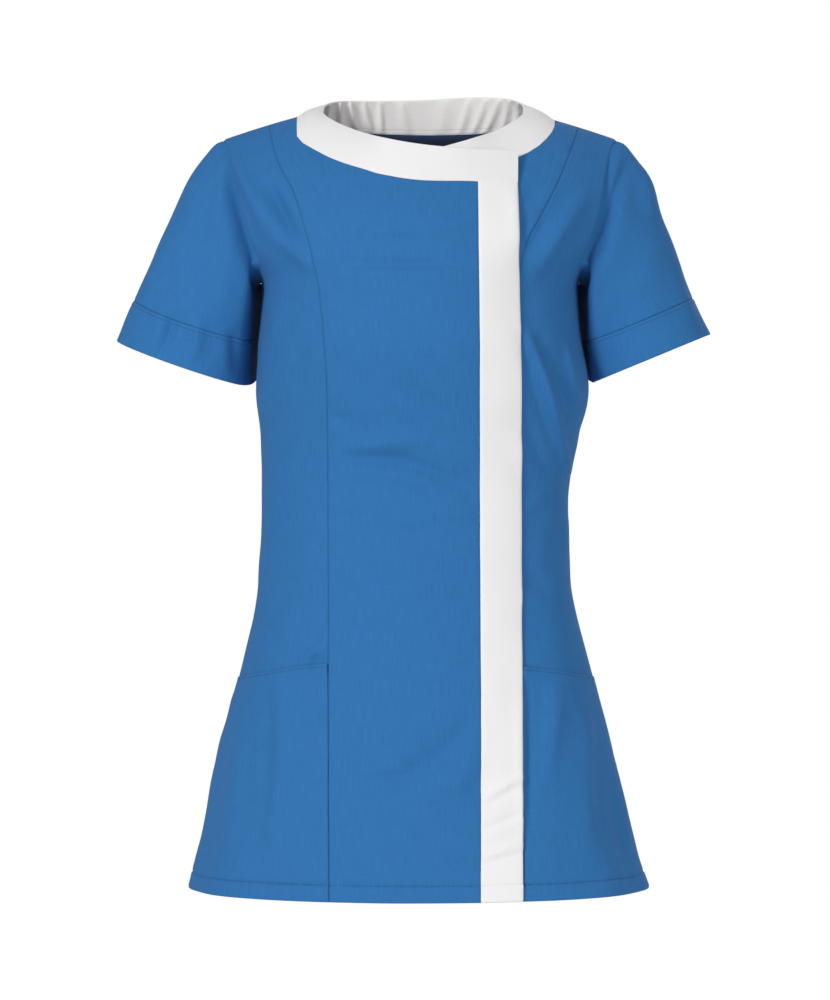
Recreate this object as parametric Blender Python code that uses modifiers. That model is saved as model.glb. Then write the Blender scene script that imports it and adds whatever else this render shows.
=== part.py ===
"""A women's medical tunic, filled out as it is worn, with nobody in it.

Metres, +Z up. The front faces -Y, and +X is the wearer's left. The origin is
midway between the two neck points, where the shoulders of the wearer carry it.

Every panel is a patch of one smooth form. A place on the form is a turn and a
rise: turn runs from -1 at the wearer's right side seam to +1 at the left one,
and rise from -1 at the hem over 0 at the armpit to 1 on the ridge of the
shoulders. A rise past 1 goes over the ridge to the other side.
"""

import math
from collections import namedtuple

import bmesh
import bpy
from mathutils import Vector

# Cloth
WALL = 0.0012
DOUBLE_WALL = 0.0018
SEAM_GAP = 0.0004

# Heights of the body
HEM = -0.721
ARMPIT = -0.152

# Half-widths from the middle to each side seam, and depths from the side seams
Level = namedtuple("Level", "height right left front back")
LEVELS = (
    Level(-0.7210, 0.2160, 0.2140, 0.130, 0.125),
    Level(-0.6590, 0.2020, 0.1940, 0.127, 0.124),
    Level(-0.5840, 0.1880, 0.1780, 0.121, 0.120),
    Level(-0.5085, 0.1660, 0.1580, 0.112, 0.110),
    Level(-0.4330, 0.1510, 0.1410, 0.103, 0.095),
    Level(-0.3580, 0.1485, 0.1390, 0.101, 0.088),
    Level(-0.3000, 0.1490, 0.1490, 0.110, 0.093),
    Level(-0.2550, 0.1540, 0.1590, 0.124, 0.102),
    Level(-0.2100, 0.1520, 0.1520, 0.134, 0.109),
    Level(ARMPIT, 0.1465, 0.1465, 0.133, 0.112),
)

# Shoulders: the ridge falls from the middle outwards
RIDGE_TOP = 0.022
RIDGE_DROP = 0.574
RIDGE_POWER = 1.556
SHOULDER_SPREAD = 0.0515
SPREAD_POWER = {"front": 3.0, "back": 2.2}
FULLNESS = {"front": 1.55, "back": 1.9}
ROUNDNESS = {"front": 0.92, "back": 0.88}
SIGN = {"front": -1.0, "back": 1.0}

# The shoulder seam lies a little in front of the ridge
SHOULDER_SEAM_RISE = 0.92

# Seams seen from the front, from the shoulder down: x and height
Spot = namedtuple("Spot", "x height")
PRINCESS_RIGHT = (
    Spot(-0.1331, -0.0403),
    Spot(-0.1143, -0.0804),
    Spot(-0.1035, -0.1170),
    Spot(-0.0945, -0.1529),
    Spot(-0.0880, -0.2041),
    Spot(-0.0846, -0.2636),
    Spot(-0.0841, -0.4128),
    Spot(-0.0838, -0.5071),
    Spot(-0.0823, HEM),
)
PRINCESS_LEFT = (
    Spot(0.1399, -0.0327),
    Spot(0.1284, -0.0623),
    Spot(0.1157, -0.0889),
    Spot(0.1024, -0.1165),
    Spot(0.0923, -0.1477),
    Spot(0.0867, -0.2131),
    Spot(0.0876, -0.3215),
    Spot(0.0882, -0.5038),
    Spot(0.0883, HEM),
)
PRINCESS_TOP = {"right": -0.1411, "left": 0.1485}
STRIP_INNER = (
    Spot(0.0526, -0.0680),
    Spot(0.0530, -0.1418),
    Spot(0.0541, -0.2675),
    Spot(0.0551, -0.5392),
    Spot(0.0547, HEM),
)
STRIP_OUTER = (
    Spot(0.0893, -0.0680),
    Spot(0.0904, -0.1406),
    Spot(0.0926, -0.2670),
    Spot(0.0936, -0.5400),
    Spot(0.0928, HEM),
)
UNDER_EDGE_SHIFT = 0.0015

# Armholes, from the shoulder down to the armpit: distance from the middle and height
ARMHOLE_FRONT = (
    Spot(0.1845, -0.0225),
    Spot(0.1765, -0.0380),
    Spot(0.1704, -0.0683),
    Spot(0.1662, -0.0903),
    Spot(0.1580, -0.1150),
    Spot(0.1480, -0.1380),
)
ARMHOLE_BACK = (
    Spot(0.1845, -0.0225),
    Spot(0.1790, -0.0450),
    Spot(0.1730, -0.0750),
    Spot(0.1670, -0.1050),
    Spot(0.1560, -0.1350),
)

# Neck seam, from the neck point to the overlap
NECK_POINT = {"right": -0.1153, "left": 0.1266}
NECK_RIGHT = (
    Spot(-0.1140, -0.0217),
    Spot(-0.1062, -0.0294),
    Spot(-0.0958, -0.0360),
    Spot(-0.0854, -0.0424),
    Spot(-0.0715, -0.0489),
    Spot(-0.0539, -0.0552),
    Spot(-0.0347, -0.0615),
    Spot(0.0062, -0.0675),
    Spot(0.0526, -0.0680),
)
NECK_LEFT = (
    Spot(0.1250, -0.0110),
    Spot(0.1176, -0.0225),
    Spot(0.1069, -0.0324),
    Spot(0.0899, -0.0415),
    Spot(0.0730, -0.0498),
    Spot(0.0541, -0.0591),
)
NECK_STEEP_SPOTS = 4
NECK_BACK = (
    Spot(-0.1080, -0.0020),
    Spot(-0.0800, -0.0060),
    Spot(0.0050, -0.0080),
    Spot(0.0900, -0.0060),
    Spot(0.1190, -0.0030),
)

# Neckband: a strip that stands at front and back and lies over at the sides. Its free
# edge goes from the hidden end, round the neck, to the end that shows on the strip.
BandSpot = namedtuple("BandSpot", "share x y height")
BAND_EDGE = (
    BandSpot(0.000, 0.0181, -0.0850, -0.0360),
    BandSpot(0.047, 0.0457, -0.0730, -0.0269),
    BandSpot(0.119, 0.0711, -0.0500, -0.0160),
    BandSpot(0.152, 0.0834, -0.0400, -0.0088),
    BandSpot(0.180, 0.0921, -0.0300, -0.0025),
    BandSpot(0.204, 0.0967, -0.0190, 0.0030),
    BandSpot(0.233, 0.0978, -0.0030, 0.0110),
    BandSpot(0.260, 0.0944, 0.0130, 0.0173),
    BandSpot(0.306, 0.0789, 0.0310, 0.0230),
    BandSpot(0.363, 0.0478, 0.0445, 0.0253),
    BandSpot(0.427, 0.0039, 0.0510, 0.0236),
    BandSpot(0.491, -0.0390, 0.0445, 0.0221),
    BandSpot(0.548, -0.0712, 0.0300, 0.0206),
    BandSpot(0.592, -0.0864, 0.0130, 0.0165),
    BandSpot(0.622, -0.0911, -0.0030, 0.0106),
    BandSpot(0.651, -0.0911, -0.0180, 0.0045),
    BandSpot(0.700, -0.0808, -0.0400, -0.0060),
    BandSpot(0.766, -0.0544, -0.0620, -0.0192),
    BandSpot(0.838, -0.0239, -0.0850, -0.0292),
    BandSpot(0.912, 0.0236, -0.0905, -0.0362),
    BandSpot(1.000, 0.0893, -0.0725, -0.0390),
)
BAND_HIDDEN_END = (Spot(0.0200, -0.0690), Spot(0.0370, -0.0650))
BAND_CROWN = 0.0035
BAND_ROWS = 3

# How far the left front sinks below the overlap, and where it is level again
SINK = 0.0026
SINK_FULL_X = 0.0945
SINK_NONE_X = 0.1250

# Sleeves: middle of the hem, half-width and slope of the hem
Sleeve = namedtuple("Sleeve", "x height half_width slope half_depth dip")
SLEEVES = {
    "right": Sleeve(-0.2246, -0.2284, 0.0636, math.radians(19.0), 0.052, 0.004),
    "left": Sleeve(0.2174, -0.2242, 0.0603, math.radians(22.4), 0.052, 0.0),
}
CUFF_DEPTH = {"right": 0.0375, "left": 0.0335}
SLEEVE_ROWS = 9
CUFF_ROWS = 2
VIEW_TURN = 0.074
VIEW_RISE = 0.045

# How far the sleeve runs outwards and down as it leaves the armhole, and its flare at the hem
LEAVE_TOP = (0.085, -0.020)
LEAVE_LOW = (0.030, -0.045)
LEAVE_SWELL = 0.020
LEAVE_AHEAD_TOP = 0.034
LEAVE_AHEAD_LOW = -0.010
SLEEVE_FLARE = 0.10
ARRIVE_LOW = 0.10
ARRIVE_TOP = 0.20

# Pockets: the opening edge from the princess seam to the side seam
POCKET_RIGHT = (Spot(-0.0838, -0.5071), Spot(-0.1097, -0.5095), Spot(-0.1379, -0.5160))
POCKET_LEFT = (Spot(0.0882, -0.5093), Spot(0.1285, -0.5150), Spot(0.1400, -0.5175))
POCKET_SIDE_HEIGHT = -0.5245
POCKET_ROWS = 6
POCKET_GAP = 0.0007
STRIP_CLEARANCE = 0.0006

# Facing inside the back neck
FACING_DEPTH = 0.050
FACING_WALL = 0.0010
FACING_GAP = 0.0016
FACING_START = 0.10
FACING_COLUMNS = 14
FACING_ROWS = 2

# Soft upright folds of the skirt: the lift fades out upwards
Fold = namedtuple("Fold", "side turn width lift top")
FOLDS = (
    Fold("front", -0.62, 0.13, 0.0035, -0.45),
    Fold("front", -0.80, 0.10, -0.0030, -0.40),
    Fold("front", 0.60, 0.12, 0.0030, -0.50),
    Fold("front", 0.78, 0.10, -0.0035, -0.40),
    Fold("back", -0.70, 0.14, 0.0040, -0.45),
    Fold("back", -0.36, 0.16, -0.0045, -0.50),
    Fold("back", 0.02, 0.18, 0.0050, -0.45),
    Fold("back", 0.38, 0.15, -0.0040, -0.50),
    Fold("back", 0.72, 0.13, 0.0040, -0.40),
)

# Grid sizes
ROWS_BELOW = 16
ROWS_ABOVE = 10
ROWS = ROWS_BELOW + ROWS_ABOVE
BELOW_SHARE = ROWS_BELOW / ROWS
ROW_CROWDING = 1.35
COLUMN_REACH = 0.6
TURNED_CENTRE = 0.5
TURNED_UNDER = 0.5
TURNED_BACK = 0.2
TURNED_FULL = 0.6
BORDER_STEP = 0.04
NORMAL_STEP = 0.004
SEAM_PASSES = 8
COLUMNS_SIDE = 7
COLUMNS_CENTRE = 12
COLUMNS_UNDER = 7
COLUMNS_STRIP = 3
COLUMNS_BACK = 24
SHOULDER_COLUMNS = 1
SHOULDER_COLUMNS_BACK = 3

BLUE = (0.042, 0.165, 0.445, 1.0)
WHITE = (0.86, 0.86, 0.87, 1.0)
NAVY = (0.012, 0.018, 0.055, 1.0)


def clamp(value, low, high):
    return max(low, min(high, value))


def smooth_step(value, start, end):
    part = clamp((value - start) / (end - start), 0.0, 1.0)
    return part * part * (3 - 2 * part)


def mix(one, other, part):
    return one + (other - one) * part


def through(xs, ys, x):
    """A smooth curve through the points that never swings past them; xs rise."""
    last = len(xs) - 1
    x = clamp(x, xs[0], xs[last])
    k = 0
    while k < last - 1 and x > xs[k + 1]:
        k += 1

    def steepness(i):
        return (ys[i + 1] - ys[i]) / (xs[i + 1] - xs[i])

    def tangent(i):
        if i == 0:
            return steepness(0)
        if i == last:
            return steepness(last - 1)
        before, after = steepness(i - 1), steepness(i)
        return 0.0 if before * after <= 0 else 2 * before * after / (before + after)

    width = xs[k + 1] - xs[k]
    t = (x - xs[k]) / width
    start = (1 + 2 * t) * (1 - t) ** 2 * ys[k] + t * (1 - t) ** 2 * width * tangent(k)
    end = t * t * (3 - 2 * t) * ys[k + 1] + t * t * (t - 1) * width * tangent(k + 1)
    return start + end


def level(height, name):
    return through([row.height for row in LEVELS], [getattr(row, name) for row in LEVELS], height)


def ridge(x):
    return RIDGE_TOP - RIDGE_DROP * abs(x) ** RIDGE_POWER


def climb_at(side, rise):
    """How much of the way from the armpit to the ridge a rise has climbed."""
    return math.sin(clamp(rise, 0.0, 1.0) * math.pi / 2) ** (2 / FULLNESS[side])


def half_above(side, climb):
    """Half-width of the form between the armpit and the ridge."""
    return LEVELS[-1].left + SHOULDER_SPREAD * (1 - (1 - climb) ** SPREAD_POWER[side])


def bare_point(side, turn, rise):
    """The form without its folds."""
    if rise > 1:
        side = "back" if side == "front" else "front"
        rise = 2 - rise
    angle = turn * math.pi / 2
    across = math.sin(angle)
    inward = max(math.cos(angle), 0.0) ** ROUNDNESS[side]
    if rise <= 0:
        height = mix(ARMPIT, HEM, -rise)
        right, left = level(height, "right"), level(height, "left")
        x = (left - right) / 2 + across * (left + right) / 2
        return Vector((x, SIGN[side] * level(height, side) * inward, height))
    climb = climb_at(side, rise)
    depth = level(ARMPIT, side) * climb_at(side, 1 - rise)
    x = half_above(side, climb) * across
    return Vector((x, SIGN[side] * depth * inward, ARMPIT + climb * (ridge(x) - ARMPIT)))


def outward(side, turn, rise):
    """Unit normal of the form, out of the garment."""
    turn = clamp(turn, -1 + NORMAL_STEP, 1 - NORMAL_STEP)
    before, after = turn - NORMAL_STEP, turn + NORMAL_STEP
    along = bare_point(side, after, rise) - bare_point(side, before, rise)
    up = bare_point(side, turn, rise + NORMAL_STEP) - bare_point(side, turn, rise - NORMAL_STEP)
    normal = along.cross(up).normalized()
    return normal if side == "front" else -normal


def fold_lift(side, turn, rise):
    lift = 0.0
    for fold in FOLDS:
        if fold.side == side and rise < fold.top:
            grow = smooth_step(rise, fold.top, -1.0)
            lift += fold.lift * grow * math.exp(-(((turn - fold.turn) / fold.width) ** 2))
    return lift


def form_point(side, turn, rise, lift=0.0):
    away = lift + fold_lift(side, turn, rise)
    return bare_point(side, turn, rise) + outward(side, turn, rise) * away


def place(side, spot):
    """The turn and rise of a spot that is seen from the front or the back."""
    if spot.height <= ARMPIT:
        right, left = level(spot.height, "right"), level(spot.height, "left")
        across = (spot.x - (left - right) / 2) / ((left + right) / 2)
        rise = -(spot.height - ARMPIT) / (HEM - ARMPIT)
    else:
        climb = min((spot.height - ARMPIT) / (ridge(spot.x) - ARMPIT), 1.0)
        across = spot.x / half_above(side, climb)
        rise = math.asin(climb ** (FULLNESS[side] / 2)) / (math.pi / 2)
    return math.asin(clamp(across, -1.0, 1.0)) / (math.pi / 2), rise


def turn_on_ridge(x):
    return math.asin(x / half_above("front", 1.0)) / (math.pi / 2)


def seam(spots, top=None):
    """A lengthwise seam of the front: a function that gives its turn at a rise."""
    rows = sorted(spots, key=lambda spot: spot.height)
    if top is not None:
        seam_climb = climb_at("front", SHOULDER_SEAM_RISE)
        rows.append(Spot(top, ARMPIT + seam_climb * (ridge(top) - ARMPIT)))
    heights, xs = [row.height for row in rows], [row.x for row in rows]

    def turn_at(rise):
        if rise <= 0:
            height = mix(ARMPIT, HEM, -rise)
            return place("front", Spot(through(heights, xs, height), height))[0]
        climb = climb_at("front", rise)
        x = through(heights, xs, ARMPIT)
        for _ in range(SEAM_PASSES):
            x = through(heights, xs, ARMPIT + climb * (ridge(x) - ARMPIT))
        return math.asin(x / half_above("front", climb)) / (math.pi / 2)

    return turn_at


def mark_shares(marks):
    reach = [0.0]
    for one, other in zip(marks, marks[1:]):
        reach.append(reach[-1] + math.hypot(other[0] - one[0], other[1] - one[1]))
    return [length / reach[-1] for length in reach]


def along_line(marks):
    """A smooth line through places on the form: a function of its share of the length."""
    shares = mark_shares(marks)
    turns, rises = [mark[0] for mark in marks], [mark[1] for mark in marks]
    return lambda share: (through(shares, turns, share), through(shares, rises, share))


def armhole(side, hand):
    """From the armpit at 0 up to the shoulder seam at 1."""
    sign = -1 if hand == "right" else 1
    spots = ARMHOLE_FRONT if side == "front" else ARMHOLE_BACK
    marks = [(float(sign), 0.0)]
    for spot in reversed(spots[1:]):
        marks.append(place(side, Spot(sign * spot.x, spot.height)))
    top_rise = SHOULDER_SEAM_RISE if side == "front" else 2 - SHOULDER_SEAM_RISE
    marks.append((turn_on_ridge(sign * spots[0].x), top_rise))
    return along_line(marks)


def cubic_weights(t):
    """Weights of the start, its direction, the end and its direction on a smooth curve."""
    return 2 * t**3 - 3 * t**2 + 1, t**3 - 2 * t**2 + t, 3 * t**2 - 2 * t**3, t**3 - t**2


def column_above(base, end, square, share):
    """A place on a column that leaves the armpit level upright and turns towards its border."""
    reach = math.hypot(end[0] - base[0], end[1] - base[1]) * COLUMN_REACH
    leave, arrive = (0.0, reach), (square[0] * reach, square[1] * reach)
    near, off, far, on = cubic_weights(share)
    return tuple(
        near * base[axis] + off * leave[axis] + far * end[axis] + on * arrive[axis]
        for axis in (0, 1)
    )


def square_to(border, share, turned):
    """Direction across a border that runs from left to right: 0 turned is upright, 1 square."""
    one, other = border(max(share - BORDER_STEP, 0.0)), border(min(share + BORDER_STEP, 1.0))
    length = math.hypot(other[0] - one[0], other[1] - one[1])
    return turned * (one[1] - other[1]) / length, mix(1.0, (other[0] - one[0]) / length, turned)


def between(left, right, t, s):
    return tuple(mix(left(t)[axis], right(t)[axis], s) for axis in (0, 1))


def turned_past(corner, amount):
    """How far columns turn square to the neck: not at all at the shoulder, more along the neck."""
    return lambda share: amount * smooth_step(share, corner, corner + TURNED_FULL)


def patch(left, right, columns, top=None, turned=None):
    """Places between two lengthwise borders, row by row from the hem up to the top border."""
    grid = []
    for j in range(ROWS + 1):
        t = j / ROWS
        line = [between(left, right, t, i / columns) for i in range(columns + 1)]
        if top is not None and t > BELOW_SHARE:
            share = upper_share(t)
            drawn = []
            for i in range(columns + 1):
                base = between(left, right, BELOW_SHARE, i / columns)
                square = square_to(top, i / columns, turned(i / columns))
                drawn.append(column_above(base, top(i / columns), square, share))
            for i in range(columns + 1):
                s = i / columns
                line[i] = tuple(
                    drawn[i][axis]
                    + (1 - s) * (left(t)[axis] - drawn[0][axis])
                    + s * (right(t)[axis] - drawn[-1][axis])
                    for axis in (0, 1)
                )
        grid.append(line)
    return grid


def shell(grid):
    """Border points drawn back by half the seam gap, so that neighbours stay apart."""
    rows, columns = len(grid), len(grid[0])
    drawn = [[point.copy() for point in line] for line in grid]
    half = SEAM_GAP / 2
    for j in range(rows):
        drawn[j][0] += (grid[j][1] - grid[j][0]).normalized() * half
        drawn[j][-1] += (grid[j][-2] - grid[j][-1]).normalized() * half
    for i in range(columns):
        drawn[0][i] += (grid[1][i] - grid[0][i]).normalized() * half
        drawn[-1][i] += (grid[-2][i] - grid[-1][i]).normalized() * half
    return drawn


def fabric(name, colour, roughness):
    material = bpy.data.materials.new(name)
    material.use_nodes = True
    shader = material.node_tree.nodes["Principled BSDF"]
    shader.inputs["Base Color"].default_value = colour
    shader.inputs["Roughness"].default_value = roughness
    shader.inputs["Metallic"].default_value = 0.0
    return material


def cloth_piece(name, grid, colour, wall, closed=False):
    """An open lofted surface whose wall grows inwards."""
    mesh = bpy.data.meshes.new(name)
    work = bmesh.new()
    verts = [[work.verts.new(point) for point in line] for line in grid]
    columns = len(grid[0])
    for low, high in zip(verts, verts[1:]):
        for i in range(columns if closed else columns - 1):
            after = (i + 1) % columns
            work.faces.new((low[i], low[after], high[after], high[i]))
    work.to_mesh(mesh)
    work.free()
    mesh.shade_smooth()
    piece = bpy.data.objects.new(name, mesh)
    mesh.materials.append(fabric(name + "_cloth", colour, 0.85))
    solid = piece.modifiers.new("wall", "SOLIDIFY")
    solid.thickness = wall
    solid.offset = -1.0
    solid.use_even_offset = True
    collection.objects.link(piece)
    return piece


def on_form(side, places, lift=0.0):
    """Points of the places. The back runs the other way round, so that faces look out."""
    grid = []
    for line in places:
        points = []
        for turn, rise in line:
            over = lift(side, turn, rise) if callable(lift) else lift
            points.append(form_point(side, turn, rise, over))
        grid.append(points if side == "front" else points[::-1])
    return grid


def sunk(side, turn, rise):
    """The left front lies below the overlap, and comes level further out."""
    x = bare_point(side, turn, rise).x
    return -SINK * (1 - smooth_step(x, SINK_FULL_X, SINK_NONE_X))


def upper_share(share):
    """Share of the way up above the armpit, with the rows closer towards the shoulder."""
    return 1 - (1 - (share - BELOW_SHARE) / (1 - BELOW_SHARE)) ** ROW_CROWDING


def outer_border(side, hand):
    """Side seam below the armpit, armhole above it."""
    hole = armhole(side, hand)
    sign = -1.0 if hand == "right" else 1.0

    def border(share):
        if share <= BELOW_SHARE:
            return sign, -1 + share / BELOW_SHARE
        return hole(upper_share(share))

    return border


def seam_border(line, top):
    def border(share):
        rise = top * upper_share(share) if share > BELOW_SHARE else -1 + share / BELOW_SHARE
        return line(rise), rise

    return border


def straight(one, other):
    return lambda share: (mix(one[0], other[0], share), mix(one[1], other[1], share))


def front_top(hand, columns):
    """The upper border of a centre front, from the princess seam over the neck point inwards.

    The steep start of the neck takes a single column, so that no column crosses it.
    """
    spots = NECK_RIGHT if hand == "right" else NECK_LEFT
    neck = (turn_on_ridge(NECK_POINT[hand]), SHOULDER_SEAM_RISE)
    shoulder = (turn_on_ridge(PRINCESS_TOP[hand]), SHOULDER_SEAM_RISE)
    marks = [neck] + [place("front", spot) for spot in spots]
    curve = along_line(marks)
    steep = mark_shares(marks)[NECK_STEEP_SPOTS]
    corner, turned = SHOULDER_COLUMNS / columns, (SHOULDER_COLUMNS + 1) / columns

    def border(share):
        if share <= corner:
            return straight(shoulder, neck)(share / corner)
        if share <= turned:
            return curve(steep * (share - corner) / (turned - corner))
        return curve(mix(steep, 1.0, (share - turned) / (1 - turned)))

    return border


def back_top():
    top_rise = 2 - SHOULDER_SEAM_RISE
    marks = [(turn_on_ridge(NECK_POINT["right"]), top_rise)]
    marks += [place("back", spot) for spot in NECK_BACK]
    marks.append((turn_on_ridge(NECK_POINT["left"]), top_rise))
    curve = along_line(marks)
    tip = turn_on_ridge(ARMHOLE_BACK[0].x)
    corner = SHOULDER_COLUMNS_BACK / COLUMNS_BACK

    def border(share):
        if share < corner:
            return straight((-tip, top_rise), marks[0])(share / corner)
        if share > 1 - corner:
            return straight(marks[-1], (tip, top_rise))((share - 1 + corner) / corner)
        return curve((share - corner) / (1 - 2 * corner))

    return border, curve


def reversed_line(line):
    return lambda share: line(1 - share)


def front_side(hand):
    princess = seam(PRINCESS_RIGHT if hand == "right" else PRINCESS_LEFT, PRINCESS_TOP[hand])
    outer = outer_border("front", hand)
    inner = seam_border(princess, SHOULDER_SEAM_RISE)
    left, right = (outer, inner) if hand == "right" else (inner, outer)
    return patch(left, right, COLUMNS_SIDE)


def centre_front():
    left = seam_border(seam(PRINCESS_RIGHT, PRINCESS_TOP["right"]), SHOULDER_SEAM_RISE)
    corner = place("front", STRIP_INNER[0])
    right = seam_border(seam(STRIP_INNER), corner[1])
    top = front_top("right", COLUMNS_CENTRE)
    turned = turned_past(SHOULDER_COLUMNS / COLUMNS_CENTRE, TURNED_CENTRE)
    return patch(left, right, COLUMNS_CENTRE, top, turned)


def under_front():
    edge = [Spot(spot.x + UNDER_EDGE_SHIFT, spot.height) for spot in STRIP_INNER[1:]]
    edge.insert(0, NECK_LEFT[-1])
    left = seam_border(seam(edge), place("front", NECK_LEFT[-1])[1])
    right = seam_border(seam(PRINCESS_LEFT, PRINCESS_TOP["left"]), SHOULDER_SEAM_RISE)
    columns = COLUMNS_UNDER + SHOULDER_COLUMNS
    top = reversed_line(front_top("left", columns))
    turned = reversed_line(turned_past(SHOULDER_COLUMNS / columns, TURNED_UNDER))
    return patch(left, right, columns, top, turned)


def back_places():
    left, right = outer_border("back", "right"), outer_border("back", "left")
    return patch(left, right, COLUMNS_BACK, back_top()[0], lambda share: TURNED_BACK)


def strip_places():
    corner = place("front", STRIP_INNER[0])
    left = seam_border(seam(STRIP_INNER), corner[1])
    right = seam_border(seam(STRIP_OUTER), place("front", STRIP_OUTER[0])[1])
    return patch(left, right, COLUMNS_STRIP)


def pocket_places(hand):
    """The side front's own columns, from the hem up to the opening edge."""
    sign = -1 if hand == "right" else 1
    princess = seam(PRINCESS_RIGHT if hand == "right" else PRINCESS_LEFT, PRINCESS_TOP[hand])
    spots = POCKET_RIGHT if hand == "right" else POCKET_LEFT
    edge = along_line([place("front", spot) for spot in spots] + [
        (float(sign), place("front", Spot(0.0, POCKET_SIDE_HEIGHT))[1])
    ])
    strip = seam([Spot(spot.x + STRIP_CLEARANCE, spot.height) for spot in STRIP_OUTER])
    grid = []
    for j in range(POCKET_ROWS + 1):
        line = []
        for i in range(COLUMNS_SIDE + 1):
            share = i / COLUMNS_SIDE
            rise = mix(-1.0, edge(share)[1], j / POCKET_ROWS)
            turn = mix(princess(rise), float(sign), share)
            line.append((turn if hand == "right" else max(turn, strip(rise)), rise))
        grid.append(line if hand == "left" else line[::-1])
    return grid


def neckband_seam():
    """Points from the hidden end under the overlap, round the neck, to the end that shows."""
    line = []
    for spot in BAND_HIDDEN_END:
        turn, rise = place("front", spot)
        line.append(form_point("front", turn, rise, sunk("front", turn, rise)))
    columns = COLUMNS_UNDER + SHOULDER_COLUMNS
    under = front_top("left", columns)
    for i in range(columns, SHOULDER_COLUMNS, -1):
        turn, rise = under(i / columns)
        line.append(form_point("front", turn, rise, sunk("front", turn, rise)))
    curve = back_top()[1]
    across = COLUMNS_BACK - 2 * SHOULDER_COLUMNS_BACK
    for i in range(across, -1, -1):
        line.append(form_point("back", *curve(i / across)))
    over = front_top("right", COLUMNS_CENTRE)
    for i in range(SHOULDER_COLUMNS + 1, COLUMNS_CENTRE + 1):
        line.append(form_point("front", *over(i / COLUMNS_CENTRE)))
    for turn, rise in strip_places()[-1][1:]:
        line.append(form_point("front", turn, rise))
    return line


def neckband_edge(line):
    """The free edge, a point for each point of the seam."""
    reach = [0.0]
    for one, other in zip(line, line[1:]):
        reach.append(reach[-1] + (other - one).length)
    shares = [row.share for row in BAND_EDGE]
    tracks = [[getattr(row, name) for row in BAND_EDGE] for name in ("x", "y", "height")]
    return [
        Vector([through(shares, track, length / reach[-1]) for track in tracks])
        for length in reach
    ]


def neckband():
    """Rows from the seam to the free edge. Where the band lies over, it is crowned."""
    low = neckband_seam()
    high = neckband_edge(low)
    grid = []
    for j in range(BAND_ROWS + 1):
        part = j / BAND_ROWS
        line = []
        for one, other in zip(low, high):
            lying = 1 - ((other.z - one.z) / (other - one).length) ** 2
            crown = BAND_CROWN * lying * 4 * part * (1 - part)
            line.append(one.lerp(other, part) + Vector((0, 0, crown)))
        grid.append(line)
    return grid


def armhole_loop(hand):
    """From the shoulder down the front to the armpit and up the back."""
    front, back = armhole("front", hand), armhole("back", hand)
    shares = [upper_share((ROWS_BELOW + j) / ROWS) for j in range(ROWS_ABOVE + 1)]
    loop = [form_point("front", *front(share)) for share in reversed(shares)]
    return loop + [form_point("back", *back(share)) for share in shares[1:-1]]


def hem_ring(hand, count):
    """The sleeve's hem, with its normal; it is seen edge-on from the front."""
    size = SLEEVES[hand]
    sign = -1.0 if hand == "right" else 1.0
    outer = Vector((sign * math.cos(size.slope), 0, math.sin(size.slope)))
    rise = VIEW_RISE + size.dip / size.half_depth
    back = Vector((VIEW_TURN * sign, 1.0, rise)).normalized()
    down = Vector((sign * math.sin(size.slope), 0, -math.cos(size.slope)))
    middle = Vector((size.x, 0, size.height))
    ring = []
    for k in range(count):
        angle = 2 * math.pi * k / count
        ring.append(middle + outer * size.half_width * math.cos(angle)
                    - back * size.half_depth * math.sin(angle))
    return ring, outer, down


def sleeve_column(start, end, leave, arrive, share):
    near, off, far, on = cubic_weights(share)
    return start * near + leave * off + end * far + arrive * on


def sleeve_columns(hand):
    """Curves from the armhole to the hem, each with its two ends and its directions there."""
    loop = armhole_loop(hand)
    count = len(loop)
    hem, outer, down = hem_ring(hand, count)
    sign = -1.0 if hand == "right" else 1.0
    columns = []
    for k, (start, end) in enumerate(zip(loop, hem)):
        angle = 2 * math.pi * k / count
        top = (1 + math.cos(angle)) / 2
        ahead = math.sin(angle)
        leave = Vector((
            sign * (mix(LEAVE_LOW[0], LEAVE_TOP[0], top) + LEAVE_SWELL * abs(ahead)),
            -mix(LEAVE_AHEAD_LOW, LEAVE_AHEAD_TOP, top) * ahead,
            mix(LEAVE_LOW[1], LEAVE_TOP[1], top),
        ))
        along = down + outer * SLEEVE_FLARE * math.cos(angle)
        columns.append((start, end, leave, along * mix(ARRIVE_LOW, ARRIVE_TOP, top)))
    return columns


def sleeve_grids(hand):
    """The sleeve down to its hem seam, and the deep hem below it."""
    columns = sleeve_columns(hand)
    stops = [1 - CUFF_DEPTH[hand] / (end - start).length for start, end, leave, arrive in columns]
    sleeve = []
    for j in range(SLEEVE_ROWS + 1):
        part = j / SLEEVE_ROWS
        sleeve.append([sleeve_column(*column, stop * part) for column, stop in zip(columns, stops)])
    cuff = []
    for j in range(CUFF_ROWS + 1):
        part = j / CUFF_ROWS
        cuff.append([
            sleeve_column(*column, mix(stop, 1.0, part)) for column, stop in zip(columns, stops)
        ])
    return sleeve, cuff


def tube_shell(grid, first_gap):
    """Draws both open ends of a tube back."""
    drawn = [[point.copy() for point in line] for line in grid]
    for i in range(len(grid[0])):
        drawn[0][i] += (grid[1][i] - grid[0][i]).normalized() * first_gap
        drawn[-1][i] += (grid[-2][i] - grid[-1][i]).normalized() * SEAM_GAP / 2
    return drawn


def facing_places():
    """From its lower edge up to the neck seam, across the back."""
    curve = back_top()[1]
    grid = []
    for j in range(FACING_ROWS + 1):
        line = []
        for i in range(FACING_COLUMNS + 1):
            neck = curve(mix(FACING_START, 1 - FACING_START, i / FACING_COLUMNS))
            point = bare_point("back", *neck)
            height = point.z - FACING_DEPTH * (1 - j / FACING_ROWS)
            line.append(place("back", Spot(point.x, height)))
        grid.append(line)
    return grid


for old in list(bpy.data.objects):
    bpy.data.objects.remove(old)
collection = bpy.data.collections.new("medical_tunic")
bpy.context.scene.collection.children.link(collection)

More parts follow.
